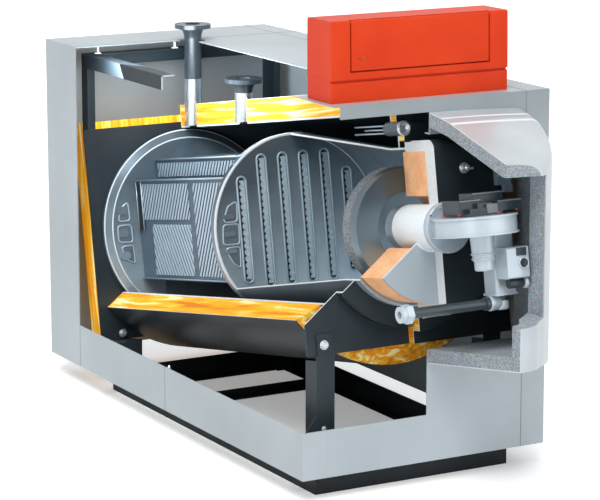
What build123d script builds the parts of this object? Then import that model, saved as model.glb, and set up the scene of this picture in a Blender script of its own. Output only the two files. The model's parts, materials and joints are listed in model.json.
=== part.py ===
# Sectioned floor-standing boiler with a gas burner, shown as a cutaway.
# The casing front faces -Y, the flue leaves at +Y and +Z is up.
# The origin is on the floor, at the middle of the whole length and width.
# The boiler body leans back inside its casing, with the burner end high.

from build123d import *
import os
from math import cos, radians, sin, sqrt, tan

os.makedirs("parts", exist_ok=True)

# Casing and plinth
casing_width = 1100
casing_length = 2320
casing_height = 1425
panel = 3
plinth_height = 95
plinth_half_width = 440
plinth_flange = 55
plinth_wall = 6
plinth_setback = 97
plinth_rear_setback = 413
crossbar_at = 1480
crossbar_height = 36
front_return = 107
side_seam = 1169
rear_strip = 312
band_height = 188
front_band_height = 426
front_opening_top = 1289
top_apron = 50
top_left_reach = 420
top_front_depth = 300
top_rear_depth = 335
opening_flange = 30

# General clearances
seat = 0.3
overrun = 20

# Boiler body, measured along its own axis from the casing front
axis_height = 1025
body_tilt = 9.8
section_arc = 234
half_arc = 180
lower_cut = 36
shell_radius = 440
shell_wall = 8
insulation = 92
jacket_wall = 2
front_plate_at = 211
front_raise = 48
front_plate_wall = 8
raise_radius = 380
front_half_width = 455
neck_radius = 300
neck_end = 125
neck_root = 234
chamber_radius = 382
chamber_wall = 8
tube_plate_at = 1030
tube_plate_wall = 12
tube_plate_rim = 26
rear_plate_at = 2040
rear_plate_wall = 8
rear_half_width = 480
rear_half_height = 468
rear_disc_radius = 430
rear_disc_depth = 34
rear_disc_wall = 10
rear_insulation_depth = 90
front_cover_gap = 35
front_cover_wall = 4
cover_raise_radius = 400

# Flat gas passages between the two tube plates
passage_pitch = 100
passage_width = 36
passage_top = 310
passage_bottom = 232
outer_passage_top = 226
outer_passage_bottom = 206
rib_pitch = 27
rib_width = 13
rib_height = 5

# Connections
pipe_radius = 38
pipe_wall = 4
flange_radius = 80
flange_thickness = 18
flange_bolt_circle = 65
flange_hole_radius = 7
flange_neck_radius = 52
flange_neck_length = 60
flow_pipe_at = 1493
flow_pipe_top = 1411
return_pipe_at = 1968
return_pipe_top = 1592
sensor_radius = 28
sensor_wall = 8
sensor_height = 382
sensor_start = 131
sensor_end = 232
flue_radius = 100
flue_wall = 3
flue_height = 665
flue_reach = 100
flue_bead = 6

# Burner door
door_radius = 333
door_wall = 4
door_front = -86
door_rim_at = 75
door_edge_radius = 36
fibre_front = 50
fibre_side = 38
backing_wall = 12
refractory_inner = 120
refractory_split = 23
refractory_end = 143
ring_inner = 139
ring_outer = 240
ring_end = 240
ring_dish = 30

# Burner, placed from the same axis
blast_radius = 88
blast_wall = 4
blast_start = -150
blast_end = 176
burner_flange_radius = 98
burner_flange_depth = 30
fan_radius = 158
fan_height = 72
fan_at = -330
fan_drop = 26
fan_lid = 8
fan_lip = 6
motor_radius = 46
motor_taper = 3
motor_length = 96
motor_cap_radius = 36
motor_cap_length = 38
motor_at = -372
block_width = 90
block_depth = 92
block_height = 228
block_across = 107
block_at = -305
valve_width = 96
valve_depth = 80
valve_height = 116
valve_drop = 56
valve_shift = 5
gas_pipe_radius = 20
gas_pipe_length = 401
gas_nut_radius = 38
gas_nut_length = 46
gas_stub_radius = 24
gas_stub_drop = 54
gas_fitting_radius = 26
gas_fitting_length = 54
box_height = 46

# Burner hood
hood_half_width = 455
hood_reach = 641
hood_skin = 4
hood_foam_wall = 53
hood_floor_back = 393
hood_floor_front = 500
hood_crown_back = 1373
hood_crown_knee = 1357
hood_crown_front = 1227
hood_knee = 130
hood_shoulder_drop = 18
hood_shoulder_radius = 70
hood_corner_half_width = 125
hood_corner_back = 68
hood_side_bulge = 70
hood_corner_radius = 120
window_sill = 665
window_top = 1205
window_start = 526
window_lean = 11
window_side = 175
window_back = 380

# Control unit on the casing top
control_half_width = 393
control_depth = 183
control_setback = 62
control_base_height = 86
control_groove = 10
control_height = 222
control_lean = 6
control_corner = 8
flap_half_width = 305
flap_height = 182
flap_thickness = 12
flap_gap = 6
flap_top_margin = 8
hinge_radius = 6
pin_radius = 4
pin_length = 14
pin_gap = 0.05
pin_end_gap = 0.5

# Frame inside the casing
angle_leg = 60
angle_wall = 6
frame_post_at = 2038
frame_top = 1383
left_rail_start = 1313
leg_width = 80
leg_depth = 86
leg_wall = 6
front_leg_at = 123
leg_across = 380
rear_leg_at = 1814
tab_height = 88
gusset_low = 40
gusset_high = 210

# Places worked out from the sizes above
half_width = casing_width / 2
total_length = casing_length + hood_reach + flue_reach
front_y = hood_reach - total_length / 2
rear_y = front_y + casing_length
floor_z = plinth_height
top_z = floor_z + casing_height
inner_half = half_width - panel
tilt = radians(body_tilt)
back_dir = (0, cos(tilt), -sin(tilt))
up_dir = (0, sin(tilt), cos(tilt))
axis_origin = (0, front_y, axis_height)
body_axis = Axis(axis_origin, back_dir)
section = Plane(origin=axis_origin, x_dir=up_dir, z_dir=(-1, 0, 0))
face_dir = (0, -cos(tilt), sin(tilt))


def across(distance):
    """Plane square to the body axis, at a distance behind the casing front."""
    place = Vector(axis_origin) + Vector(back_dir) * distance
    return Plane(origin=place, x_dir=(1, 0, 0), z_dir=face_dir)


def body_point(side, distance, height):
    """Point given by its side, its distance along the axis and its height over it."""
    place = Vector(axis_origin) + Vector(back_dir) * distance + Vector(up_dir) * height
    return place + Vector(side, 0, 0)


def finish(piece, name):
    """Label a finished piece and write it."""
    piece.part.label = name
    export_step(piece.part, f"parts/{name}.step")


def turned(points, arc, rounds=()):
    """Piece turned about the body axis from points of radius and distance."""
    with BuildPart(mode=Mode.PRIVATE) as piece:
        with BuildSketch(section) as profile:
            with BuildLine():
                Polyline(*points, close=True)
            make_face()
            for corner, radius in rounds:
                fillet(profile.vertices().sort_by_distance(corner)[0], radius)
        revolve(axis=body_axis, revolution_arc=arc)
    return piece.part


def sector(reach):
    """Outline of what the section takes away, seen from the front."""
    with BuildSketch(mode=Mode.PRIVATE) as outline:
        with BuildLine():
            Polyline(
                (0, 0),
                (0, reach),
                (-reach, reach),
                (-reach, -reach * tan(radians(lower_cut))),
                close=True,
            )
        make_face()
    return outline.sketch


def level(height):
    """Horizontal plane at a height over the casing floor."""
    return Plane.XY.offset(floor_z + height)


def cross_wall(distance):
    """Upright plane across the casing, facing forwards."""
    return Plane.XZ.offset(-(front_y + distance))


# Plinth: angle members round an open middle, with one crossbar
plinth_length = casing_length - plinth_setback - plinth_rear_setback
plinth_front = front_y + plinth_setback
plinth_rear = plinth_front + plinth_length
flange_half = plinth_half_width - plinth_flange - seat

with BuildPart() as plinth_sides:
    with BuildSketch(Plane.XZ.offset(-(plinth_front + plinth_wall + seat))):
        for turn in (-1, 1):
            with BuildLine():
                Polyline(
                    (turn * plinth_half_width, 0),
                    (turn * plinth_half_width, plinth_height),
                    (turn * (plinth_half_width - plinth_wall), plinth_height),
                    (turn * (plinth_half_width - plinth_wall), plinth_wall),
                    (turn * (plinth_half_width - plinth_flange), plinth_wall),
                    (turn * (plinth_half_width - plinth_flange), 0),
                    close=True,
                )
            make_face()
    extrude(amount=-(plinth_length - 2 * plinth_wall - 2 * seat))
finish(plinth_sides, "plinth_sides")

with BuildPart() as plinth_ends:
    for outer, turn in ((plinth_front, 1), (plinth_rear, -1)):
        with BuildSketch():
            with Locations((0, outer + turn * plinth_wall / 2)):
                Rectangle(2 * plinth_half_width, plinth_wall)
        extrude(amount=plinth_height)
        with BuildSketch():
            with Locations((0, outer + turn * plinth_flange / 2)):
                Rectangle(2 * flange_half, plinth_flange)
        extrude(amount=plinth_wall)
finish(plinth_ends, "plinth_ends")

with BuildPart() as plinth_crossbar:
    with BuildSketch(Plane.YZ.offset(-flange_half)):
        with BuildLine():
            Polyline(
                (front_y + crossbar_at, 0),
                (front_y + crossbar_at + plinth_flange, 0),
                (front_y + crossbar_at + plinth_flange, crossbar_height),
                (front_y + crossbar_at + plinth_flange - plinth_wall, crossbar_height),
                (front_y + crossbar_at + plinth_flange - plinth_wall, plinth_wall),
                (front_y + crossbar_at, plinth_wall),
                close=True,
            )
        make_face()
    extrude(amount=2 * flange_half)
finish(plinth_crossbar, "plinth_crossbar")


def side_front_panel(height):
    """Right-hand front side panel, with the return that shows on the front."""
    with BuildPart(mode=Mode.PRIVATE) as piece:
        with BuildSketch(level(0)):
            with BuildLine():
                Polyline(
                    (half_width - front_return, front_y),
                    (half_width, front_y),
                    (half_width, front_y + side_seam - seat),
                    (inner_half, front_y + side_seam - seat),
                    (inner_half, front_y + panel),
                    (half_width - front_return, front_y + panel),
                    close=True,
                )
            make_face()
        extrude(amount=height)
        corner = piece.edges().filter_by(Axis.Z).sort_by_distance((half_width, front_y, 0))[0]
        fillet(corner, panel * 0.8)
    return piece.part


with BuildPart() as left_front_panel:
    add(mirror(side_front_panel(band_height), about=Plane.YZ))
finish(left_front_panel, "left_front_panel")

with BuildPart() as right_front_panel:
    add(side_front_panel(casing_height - panel - seat))
finish(right_front_panel, "right_front_panel")

# Left rear side panel, with the window of the section cut out of it
side_plane = Plane(origin=(-half_width, 0, floor_z), x_dir=(0, -1, 0), z_dir=(-1, 0, 0))
side_top = casing_height - panel - seat
with BuildPart() as left_rear_panel:
    with BuildSketch(side_plane):
        with BuildLine():
            Polyline(
                (-(front_y + side_seam), 0),
                (-(front_y + side_seam), band_height),
                (-(rear_y - rear_strip), band_height),
                (-(rear_y - rear_strip), side_top),
                (-(rear_y - panel - seat), side_top),
                (-(rear_y - panel - seat), 0),
                close=True,
            )
        make_face()
    extrude(amount=-panel)
finish(left_rear_panel, "left_rear_panel")

with BuildPart() as right_rear_panel:
    with BuildSketch(level(0)):
        with Locations((half_width, front_y + side_seam)):
            Rectangle(
                panel,
                casing_length - side_seam - panel - seat,
                align=(Align.MAX, Align.MIN),
            )
    extrude(amount=side_top)
finish(right_rear_panel, "right_rear_panel")

with BuildPart() as rear_panel:
    with BuildSketch(Plane.XZ.offset(-rear_y)):
        with Locations((0, floor_z + side_top / 2)):
            Rectangle(casing_width, side_top)
        with Locations((0, flue_height)):
            Circle(flue_radius + seat, mode=Mode.SUBTRACT)
    extrude(amount=panel)
finish(rear_panel, "rear_panel")

# Front panels above and below the burner opening
front_edge = half_width - front_return - seat
with BuildPart() as front_lower_panel:
    with BuildSketch(cross_wall(0)):
        with BuildLine():
            Polyline(
                (-front_edge, floor_z),
                (front_edge, floor_z),
                (front_edge, floor_z + front_band_height),
                (0, floor_z + front_band_height),
                (0, floor_z + band_height),
                (-front_edge, floor_z + band_height),
                close=True,
            )
        make_face()
    extrude(amount=-panel)
finish(front_lower_panel, "front_lower_panel")

apron_left = top_left_reach - opening_flange
with BuildPart() as front_upper_panel:
    with BuildSketch(cross_wall(0)):
        with BuildLine():
            Polyline(
                (-apron_left, floor_z + side_top),
                (-apron_left, top_z - top_apron),
                (0, top_z - top_apron),
                (0, floor_z + front_opening_top),
                (front_edge, floor_z + front_opening_top),
                (front_edge, floor_z + side_top),
                close=True,
            )
        make_face()
    extrude(amount=-panel)
    with BuildSketch(cross_wall(panel)):
        with Locations((0, floor_z + front_opening_top)):
            Rectangle(front_edge, panel, align=(Align.MIN, Align.MIN))
    extrude(amount=-opening_flange)
finish(front_upper_panel, "front_upper_panel")

# Top panels
with BuildPart() as top_front_panel:
    with BuildSketch(level(casing_height - panel)):
        with Locations((-top_left_reach, front_y)):
            Rectangle(
                half_width + top_left_reach,
                top_front_depth - seat,
                align=(Align.MIN, Align.MIN),
            )
    extrude(amount=panel)
finish(top_front_panel, "top_front_panel")

with BuildPart() as top_middle_panel:
    with BuildSketch(level(casing_height - panel)):
        with Locations((0, front_y + top_front_depth)):
            Rectangle(
                half_width,
                casing_length - top_front_depth - top_rear_depth - seat,
                align=(Align.MIN, Align.MIN),
            )
        with Locations((0, front_y + return_pipe_at)):
            Circle(pipe_radius + overrun, mode=Mode.SUBTRACT)
    extrude(amount=panel)
finish(top_middle_panel, "top_middle_panel")

with BuildPart() as top_rear_panel:
    with BuildSketch(level(casing_height - panel)):
        with Locations((0, rear_y)):
            Rectangle(casing_width, top_rear_depth, align=(Align.CENTER, Align.MAX))
        with Locations((0, front_y + return_pipe_at)):
            Circle(pipe_radius + overrun, mode=Mode.SUBTRACT)
    extrude(amount=panel)
finish(top_rear_panel, "top_rear_panel")

# Frame inside the casing: posts on the rear plate carry rails under the top
post_x = rear_half_width
post_rear = front_y + frame_post_at + angle_leg
rail_z = floor_z + frame_top


def angle_outline(leg, wall):
    """Angle section with its corner at the origin and its legs along +X and -Y."""
    with BuildSketch(mode=Mode.PRIVATE) as outline:
        with BuildLine():
            Polyline(
                (0, 0), (leg, 0), (leg, -wall), (wall, -wall), (wall, -leg), (0, -leg), close=True
            )
        make_face()
    return outline.sketch


def body_mask(half, low, high, start, end):
    """Block square to the body axis, used to trim what stands beside the body."""
    with BuildPart(mode=Mode.PRIVATE) as mask:
        with BuildSketch(across(end)):
            with Locations((0, -low)):
                Rectangle(2 * half, low + high, align=(Align.CENTER, Align.MIN))
        extrude(amount=end - start)
    return mask.part


left_angle = angle_outline(angle_leg, angle_wall)
right_angle = mirror(left_angle, about=Plane.YZ)
rear_trim = body_mask(casing_width, casing_height, rear_half_height + seat, 0, casing_length)
with BuildPart() as frame_posts:
    with BuildSketch(Plane.XY.offset(rail_z - angle_leg - seat)):
        with Locations((-post_x, post_rear)):
            add(left_angle)
        with Locations((post_x, post_rear)):
            add(right_angle)
    extrude(amount=-rear_half_height)
    add(rear_trim, mode=Mode.SUBTRACT)
finish(frame_posts, "frame_posts")

with BuildPart() as frame_rails:
    with BuildSketch(Plane.XZ.offset(-(front_y + left_rail_start))):
        with Locations((-post_x, rail_z)):
            add(left_angle)
    extrude(amount=-(frame_post_at + angle_leg - left_rail_start))
    with BuildSketch(Plane.XZ.offset(-(front_y + opening_flange + panel + seat))):
        with Locations((post_x, rail_z)):
            add(right_angle)
    extrude(amount=-(frame_post_at + angle_leg - opening_flange - panel - seat))
finish(frame_rails, "frame_rails")

cross_rail_half = post_x - angle_leg - seat
with BuildPart() as frame_cross_rail:
    with BuildSketch(Plane.YZ.offset(-cross_rail_half)):
        with Locations((post_rear, rail_z)):
            add(right_angle)
    extrude(amount=2 * cross_rail_half)
finish(frame_cross_rail, "frame_cross_rail")


def channel_legs(at):
    """Pair of upright channels on the plinth, open to the rear, with a gusset to each side."""
    with BuildPart(mode=Mode.PRIVATE) as pair:
        with BuildSketch(Plane.XY.offset(plinth_wall + seat)):
            for side in (-leg_across, leg_across):
                with Locations((side, front_y + at)):
                    Rectangle(leg_width, leg_depth, align=(Align.CENTER, Align.MIN))
                with Locations((side, front_y + at + leg_wall)):
                    Rectangle(
                        leg_width - 2 * leg_wall,
                        leg_depth,
                        align=(Align.CENTER, Align.MIN),
                        mode=Mode.SUBTRACT,
                    )
        extrude(amount=axis_height)
        leg_face = leg_across + leg_width / 2
        gusset_end = inner_half - seat
        for turn in (-1, 1):
            with BuildSketch(cross_wall(at)):
                with BuildLine():
                    Polyline(
                        (turn * leg_face, plinth_height + gusset_high),
                        (turn * leg_face, plinth_height + seat),
                        (turn * gusset_end, plinth_height + seat),
                        (turn * gusset_end, plinth_height + gusset_low),
                        close=True,
                    )
                make_face()
            extrude(amount=-leg_wall)
    return pair.part


front_legs_form = channel_legs(front_leg_at)
front_trim = body_mask(
    casing_width, front_half_width + seat, casing_height, -leg_depth, casing_length
)
rear_legs_form = channel_legs(rear_leg_at)
pad_top = rear_half_height + seat
rear_leg_trim = body_mask(
    casing_width,
    pad_top + leg_wall,
    casing_height,
    front_plate_at,
    casing_length + rear_insulation_depth,
)
pad_end = rear_plate_at + rear_plate_wall
pad_start = (rear_leg_at + pad_top * sin(tilt)) / cos(tilt)
tab_width = leg_width - 2 * leg_wall
with BuildPart() as legs:
    add(front_legs_form)
    add(front_trim, mode=Mode.SUBTRACT)
    with BuildSketch(across(front_plate_at - seat)):
        for side in (-leg_across, leg_across):
            with Locations((side, -front_half_width - leg_wall)):
                Rectangle(tab_width, tab_height, align=(Align.CENTER, Align.MIN))
    extrude(amount=leg_wall)
    add(rear_legs_form)
    add(rear_leg_trim, mode=Mode.SUBTRACT)
    for side in (-leg_across, leg_across):
        pad_plane = Plane(
            origin=body_point(side, pad_end, -pad_top), x_dir=(1, 0, 0), z_dir=up_dir
        )
        with BuildSketch(pad_plane):
            Rectangle(leg_width, pad_end - pad_start, align=(Align.CENTER, Align.MAX))
        extrude(amount=-leg_wall)
finish(legs, "legs")

# Boiler shell, its insulation and the jacket round them
shell_outer = shell_radius + shell_wall
shell_front = front_plate_at + front_plate_wall + seat
shell_rear = rear_plate_at - seat
insulation_inner = shell_outer + seat
insulation_outer = insulation_inner + insulation


def connection_bore(at, radius):
    """Upright cylinder through the crown of the body, for a pipe."""
    with BuildPart(mode=Mode.PRIVATE) as bore:
        with BuildSketch(Plane.XY.offset(axis_height - casing_length * sin(tilt))):
            with Locations((0, front_y + at)):
                Circle(radius)
        extrude(amount=casing_height)
    return bore.part


with BuildPart() as vessel_shell:
    add(
        turned(
            [
                (shell_radius, shell_front),
                (shell_outer, shell_front),
                (shell_outer, shell_rear),
                (shell_radius, shell_rear),
            ],
            section_arc,
        )
    )
    for at in (flow_pipe_at, return_pipe_at):
        add(connection_bore(at, pipe_radius - pipe_wall), mode=Mode.SUBTRACT)
finish(vessel_shell, "vessel_shell")

with BuildPart() as shell_insulation:
    add(
        turned(
            [
                (insulation_inner, shell_front + insulation / 4),
                (insulation_outer, shell_front + insulation),
                (insulation_outer, shell_rear),
                (insulation_inner, shell_rear),
            ],
            section_arc,
        )
    )
    for at in (flow_pipe_at, return_pipe_at):
        add(connection_bore(at, pipe_radius + seat), mode=Mode.SUBTRACT)
finish(shell_insulation, "shell_insulation")

jacket_inner = insulation_outer + seat
with BuildPart() as shell_jacket:
    add(
        turned(
            [
                (jacket_inner, shell_front + insulation),
                (jacket_inner + jacket_wall, shell_front + insulation),
                (jacket_inner + jacket_wall, shell_rear),
                (jacket_inner, shell_rear),
            ],
            section_arc,
        )
    )
    for at in (flow_pipe_at, return_pipe_at):
        add(connection_bore(at, pipe_radius + seat), mode=Mode.SUBTRACT)
finish(shell_jacket, "shell_jacket")

# Front end: plate with a raised ring, insulation and cover
raise_front = front_plate_at - front_raise
with BuildPart() as front_plate:
    with BuildSketch(across(front_plate_at + front_plate_wall)):
        Rectangle(2 * front_half_width, 2 * front_half_width)
        Circle(raise_radius - front_plate_wall, mode=Mode.SUBTRACT)
    extrude(amount=front_plate_wall)
    with BuildSketch(across(front_plate_at + front_plate_wall)):
        Circle(raise_radius)
        Circle(raise_radius - front_plate_wall, mode=Mode.SUBTRACT)
    extrude(amount=front_raise + front_plate_wall)
    with BuildSketch(across(raise_front + front_plate_wall)):
        Circle(raise_radius)
        Circle(neck_radius + chamber_wall + seat, mode=Mode.SUBTRACT)
    extrude(amount=front_plate_wall)
    with BuildSketch(across(sensor_end)):
        with Locations((0, sensor_height)):
            Circle(sensor_radius + seat)
    extrude(amount=sensor_end, mode=Mode.SUBTRACT)
    with BuildSketch(across(front_plate_at + front_plate_wall)):
        add(sector(casing_width))
    extrude(amount=front_plate_at, mode=Mode.SUBTRACT)
finish(front_plate, "front_plate")

cover_raise_front = raise_front - front_cover_gap
cover_step = front_plate_at - front_cover_gap
cover_inner = door_radius + seat
with BuildPart() as front_insulation:
    with BuildSketch(across(front_plate_at - seat)):
        Rectangle(2 * front_half_width, 2 * front_half_width)
        Circle(raise_radius + seat, mode=Mode.SUBTRACT)
    extrude(amount=front_cover_gap - 2 * seat)
    with BuildSketch(across(cover_step + seat)):
        Circle(cover_raise_radius - seat)
        Circle(raise_radius + seat, mode=Mode.SUBTRACT)
    extrude(amount=front_raise)
    with BuildSketch(across(raise_front - seat)):
        Circle(cover_raise_radius - seat)
        Circle(cover_inner, mode=Mode.SUBTRACT)
    extrude(amount=front_cover_gap - 2 * seat)
    with BuildSketch(across(sensor_end)):
        with Locations((0, sensor_height)):
            Circle(sensor_radius + seat)
    extrude(amount=sensor_end, mode=Mode.SUBTRACT)
    with BuildSketch(across(front_plate_at - seat)):
        with Locations((leg_across, tab_height / 2 - front_half_width)):
            Rectangle(tab_width + 2 * seat, tab_height + 2 * leg_wall)
    extrude(amount=leg_wall + seat, mode=Mode.SUBTRACT)
    split(bisect_by=Plane.YZ, keep=Keep.TOP)
finish(front_insulation, "front_insulation")

with BuildPart() as front_cover:
    with BuildSketch(across(cover_step)):
        Rectangle(2 * (front_half_width - front_cover_wall), 2 * front_half_width)
        Circle(cover_raise_radius, mode=Mode.SUBTRACT)
    extrude(amount=front_cover_wall)
    with BuildSketch(across(cover_step)):
        Circle(cover_raise_radius + front_cover_wall)
        Circle(cover_raise_radius, mode=Mode.SUBTRACT)
    extrude(amount=front_raise + front_cover_wall)
    with BuildSketch(across(cover_raise_front)):
        Circle(cover_raise_radius + front_cover_wall)
        Circle(cover_inner, mode=Mode.SUBTRACT)
    extrude(amount=front_cover_wall)
    with BuildSketch(across(sensor_end)):
        with Locations((0, sensor_height)):
            Circle(sensor_radius + seat)
    extrude(amount=sensor_end - sensor_start + seat, mode=Mode.SUBTRACT)
    split(bisect_by=Plane.YZ, keep=Keep.TOP)
finish(front_cover, "front_cover")

# Rear end
def flue_bore(radius):
    """Level cylinder from inside the rear plate out through the rear panel."""
    with BuildPart(mode=Mode.PRIVATE) as bore:
        with BuildSketch(Plane.XZ.offset(-(front_y + rear_plate_at - rear_insulation_depth))):
            with Locations((0, flue_height)):
                Circle(radius)
        extrude(amount=-casing_length)
    return bore.part


with BuildPart() as rear_plate:
    with BuildSketch(across(rear_plate_at + rear_plate_wall)):
        Rectangle(2 * rear_half_width, 2 * rear_half_height)
    extrude(amount=rear_plate_wall)
    add(flue_bore(flue_radius - flue_wall), mode=Mode.SUBTRACT)
finish(rear_plate, "rear_plate")


rear_insulation_top = rear_half_height + insulation / 3
with BuildPart() as rear_insulation:
    with BuildSketch(across(rear_plate_at + rear_plate_wall + seat + rear_insulation_depth)):
        with Locations((0, -rear_half_height)):
            Rectangle(
                2 * rear_half_width,
                rear_half_height + rear_insulation_top,
                align=(Align.CENTER, Align.MIN),
            )
    extrude(amount=rear_insulation_depth)
    add(flue_bore(flue_radius + seat), mode=Mode.SUBTRACT)
finish(rear_insulation, "rear_insulation")

with BuildPart() as flue_collar:
    with BuildSketch(Plane.XZ.offset(-(rear_y + flue_reach))):
        with Locations((0, flue_height)):
            Circle(flue_radius)
            Circle(flue_radius - flue_wall, mode=Mode.SUBTRACT)
    extrude(amount=casing_length - rear_plate_at + flue_reach + overrun)
    with BuildSketch(Plane.XZ.offset(-(rear_y + flue_bead + seat))):
        with Locations((0, flue_height)):
            Circle(flue_radius + flue_bead)
            Circle(flue_radius - flue_wall, mode=Mode.SUBTRACT)
    extrude(amount=flue_bead)
    with BuildSketch(across(rear_plate_at + rear_plate_wall + seat)):
        Rectangle(casing_width, casing_width)
    extrude(amount=casing_width, mode=Mode.SUBTRACT)
finish(flue_collar, "flue_collar")

# Combustion chamber: a cone that narrows to the burner neck
neck_outer = neck_radius + chamber_wall
with BuildPart() as combustion_chamber:
    add(
        turned(
            [
                (neck_radius, neck_end),
                (neck_outer, neck_end),
                (neck_outer, neck_root),
                (chamber_radius + chamber_wall, tube_plate_at - seat),
                (chamber_radius, tube_plate_at - seat),
                (neck_radius, neck_root),
            ],
            section_arc,
        )
    )
finish(combustion_chamber, "combustion_chamber")

# Front tube plate, with one upright slot for each gas passage
passages = []
for step in (-5, -3, -1, 1, 3, 5):
    outer = abs(step) == 5
    top = outer_passage_top if outer else passage_top
    bottom = outer_passage_bottom if outer else passage_bottom
    passages.append((step * passage_pitch / 2, -bottom, top))

front_disc_radius = chamber_radius + chamber_wall
front_disc_rear = tube_plate_at + tube_plate_wall
pad_length = passage_pitch / 2
pad_height = passage_pitch / 5
with BuildPart() as front_tube_plate:
    with BuildSketch(across(front_disc_rear)):
        Circle(front_disc_radius)
    extrude(amount=tube_plate_wall)
    with BuildSketch(across(front_disc_rear + tube_plate_rim)):
        Circle(front_disc_radius)
        Circle(front_disc_radius - tube_plate_wall, mode=Mode.SUBTRACT)
    extrude(amount=tube_plate_rim)
    fillet(
        front_tube_plate.edges().filter_by(GeomType.CIRCLE).group_by(SortBy.RADIUS)[-1],
        tube_plate_wall * 0.4,
    )
    for side, low, high in passages:
        with BuildSketch(across(front_disc_rear)):
            with Locations((side, (low + high) / 2)):
                SlotOverall(high - low, passage_width, rotation=90)
        extrude(amount=tube_plate_wall, mode=Mode.SUBTRACT)
    pad_x = front_disc_radius - pad_length * 1.35
    with BuildSketch(across(tube_plate_at)):
        for side in (-pad_x, pad_x):
            for rise in (-passage_pitch * 0.7, 0, passage_pitch * 0.7):
                with Locations((side, rise)):
                    SlotOverall(pad_length, pad_height)
    extrude(amount=tube_plate_wall / 2)
finish(front_tube_plate, "front_tube_plate")

# Rear tube plate: a dished disc with pressed pockets at both sides
rear_disc_front = rear_plate_at - seat - rear_disc_depth
rim_radius = rear_disc_radius - rear_disc_depth
with BuildPart() as rear_tube_plate:
    with BuildSketch(section):
        with BuildLine():
            Polyline(
                (0, rear_disc_front + rear_disc_wall),
                (rim_radius - rear_disc_wall, rear_disc_front + rear_disc_wall),
                (rim_radius - rear_disc_wall, rear_plate_at - seat),
                (rear_disc_radius, rear_plate_at - seat),
                (rear_disc_radius, rear_disc_front + rear_disc_wall),
                (rim_radius, rear_disc_front),
                (0, rear_disc_front),
                close=True,
            )
        make_face()
    revolve(axis=body_axis)
    with BuildSketch(across(rear_disc_front)):
        for side in (-1, 1):
            for rise in (-passage_pitch, 0, passage_pitch):
                with Locations((side * (rim_radius - pad_length), rise)):
                    SlotOverall(pad_length, passage_width)
    extrude(amount=rear_disc_wall / 2)
finish(rear_tube_plate, "rear_tube_plate")

# Gas passages: flat boxes with pressed diagonal ribs on both faces
passage_start = front_disc_rear + seat
passage_end = rear_disc_front - rear_disc_wall / 2 - seat
passage_length = passage_end - passage_start


def rib_field(width, height, lean):
    """Slanting ribs cut to a rectangle, as a sketch about its own middle."""
    reach = width + height
    count = int(reach / rib_pitch)
    with BuildSketch(mode=Mode.PRIVATE) as field:
        with GridLocations(rib_pitch, 0, count, 1):
            SlotOverall(reach, rib_width, rotation=lean)
        Rectangle(width, height, mode=Mode.INTERSECT)
    return field.sketch


def gas_passage(side, low, high, fields):
    """One passage, with its rib fields as share of length, share of height and lean."""
    height = high - low
    with BuildPart(mode=Mode.PRIVATE) as passage:
        with BuildSketch(across(passage_end)):
            with Locations((side, (low + high) / 2)):
                RectangleRounded(passage_width - 2 * rib_height, height, rib_height)
        extrude(amount=passage_length)
        for turn in (-1, 1):
            face_plane = Plane(
                origin=body_point(
                    side + turn * (passage_width / 2 - rib_height),
                    (passage_start + passage_end) / 2,
                    (low + high) / 2,
                ),
                x_dir=back_dir,
                z_dir=(turn, 0, 0),
            )
            for start_share, end_share, low_share, high_share, lean in fields:
                width = (end_share - start_share) * passage_length
                tall = (high_share - low_share) * height
                across_at = ((start_share + end_share) / 2 - 0.5) * passage_length
                up_at = ((low_share + high_share) / 2 - 0.5) * height * -turn
                with BuildSketch(face_plane):
                    with Locations((across_at, up_at)):
                        add(rib_field(width, tall, lean))
                extrude(amount=rib_height - seat)
    return passage.part


outer_field_shares = (
    (0.03, 0.42, 0.04, 0.96, 60),
    (0.47, 0.86, 0.45, 0.96, 120),
    (0.47, 0.97, 0.04, 0.40, 60),
)
inner_field_shares = (
    (0.03, 0.97, 0.03, 0.14, 60),
    (0.03, 0.97, 0.82, 0.97, 60),
)
outer_passages = [passages[0], passages[-1]]
with BuildPart() as outer_gas_passages:
    for side, low, high in outer_passages:
        add(gas_passage(side, low, high, outer_field_shares))
finish(outer_gas_passages, "outer_gas_passages")

with BuildPart() as inner_gas_passages:
    for side, low, high in passages[1:-1]:
        add(gas_passage(side, low, high, inner_field_shares))
finish(inner_gas_passages, "inner_gas_passages")


# Flow and return pipes with their flanges
def connection_pipe(at, top):
    """Upright pipe that stands on the shell and ends in a drilled flange."""
    with BuildPart(mode=Mode.PRIVATE) as pipe:
        place = (0, front_y + at)
        with BuildSketch(Plane.XY.offset(top)):
            with Locations(place):
                Circle(flange_radius)
        extrude(amount=-flange_thickness)
        with BuildSketch(Plane.XY.offset(top)):
            with Locations(place):
                Circle(pipe_radius)
        extrude(amount=-casing_height / 2)
        neck_plane = Plane(origin=(0, front_y + at, top), x_dir=(1, 0, 0), z_dir=(0, -1, 0))
        with BuildSketch(neck_plane):
            with BuildLine():
                Polyline(
                    (pipe_radius, -flange_neck_length),
                    (pipe_radius - pipe_wall, -flange_neck_length),
                    (pipe_radius - pipe_wall, -flange_thickness),
                    (flange_neck_radius, -flange_thickness),
                )
                ThreePointArc(
                    (flange_neck_radius, -flange_thickness),
                    (pipe_radius + pipe_wall, -(flange_neck_length + flange_thickness) / 2),
                    (pipe_radius, -flange_neck_length),
                )
            make_face()
        revolve(axis=Axis((0, front_y + at, 0), (0, 0, 1)))
        with BuildSketch(Plane.XY.offset(top)):
            with Locations(place):
                Circle(pipe_radius - pipe_wall)
                with PolarLocations(flange_bolt_circle, 4, start_angle=45):
                    Circle(flange_hole_radius)
        extrude(amount=-casing_height / 2, mode=Mode.SUBTRACT)
        add(
            turned(
                [
                    (0, 0),
                    (shell_outer + seat, 0),
                    (shell_outer + seat, casing_length),
                    (0, casing_length),
                ],
                360,
            ),
            mode=Mode.SUBTRACT,
        )
    return pipe.part


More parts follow.
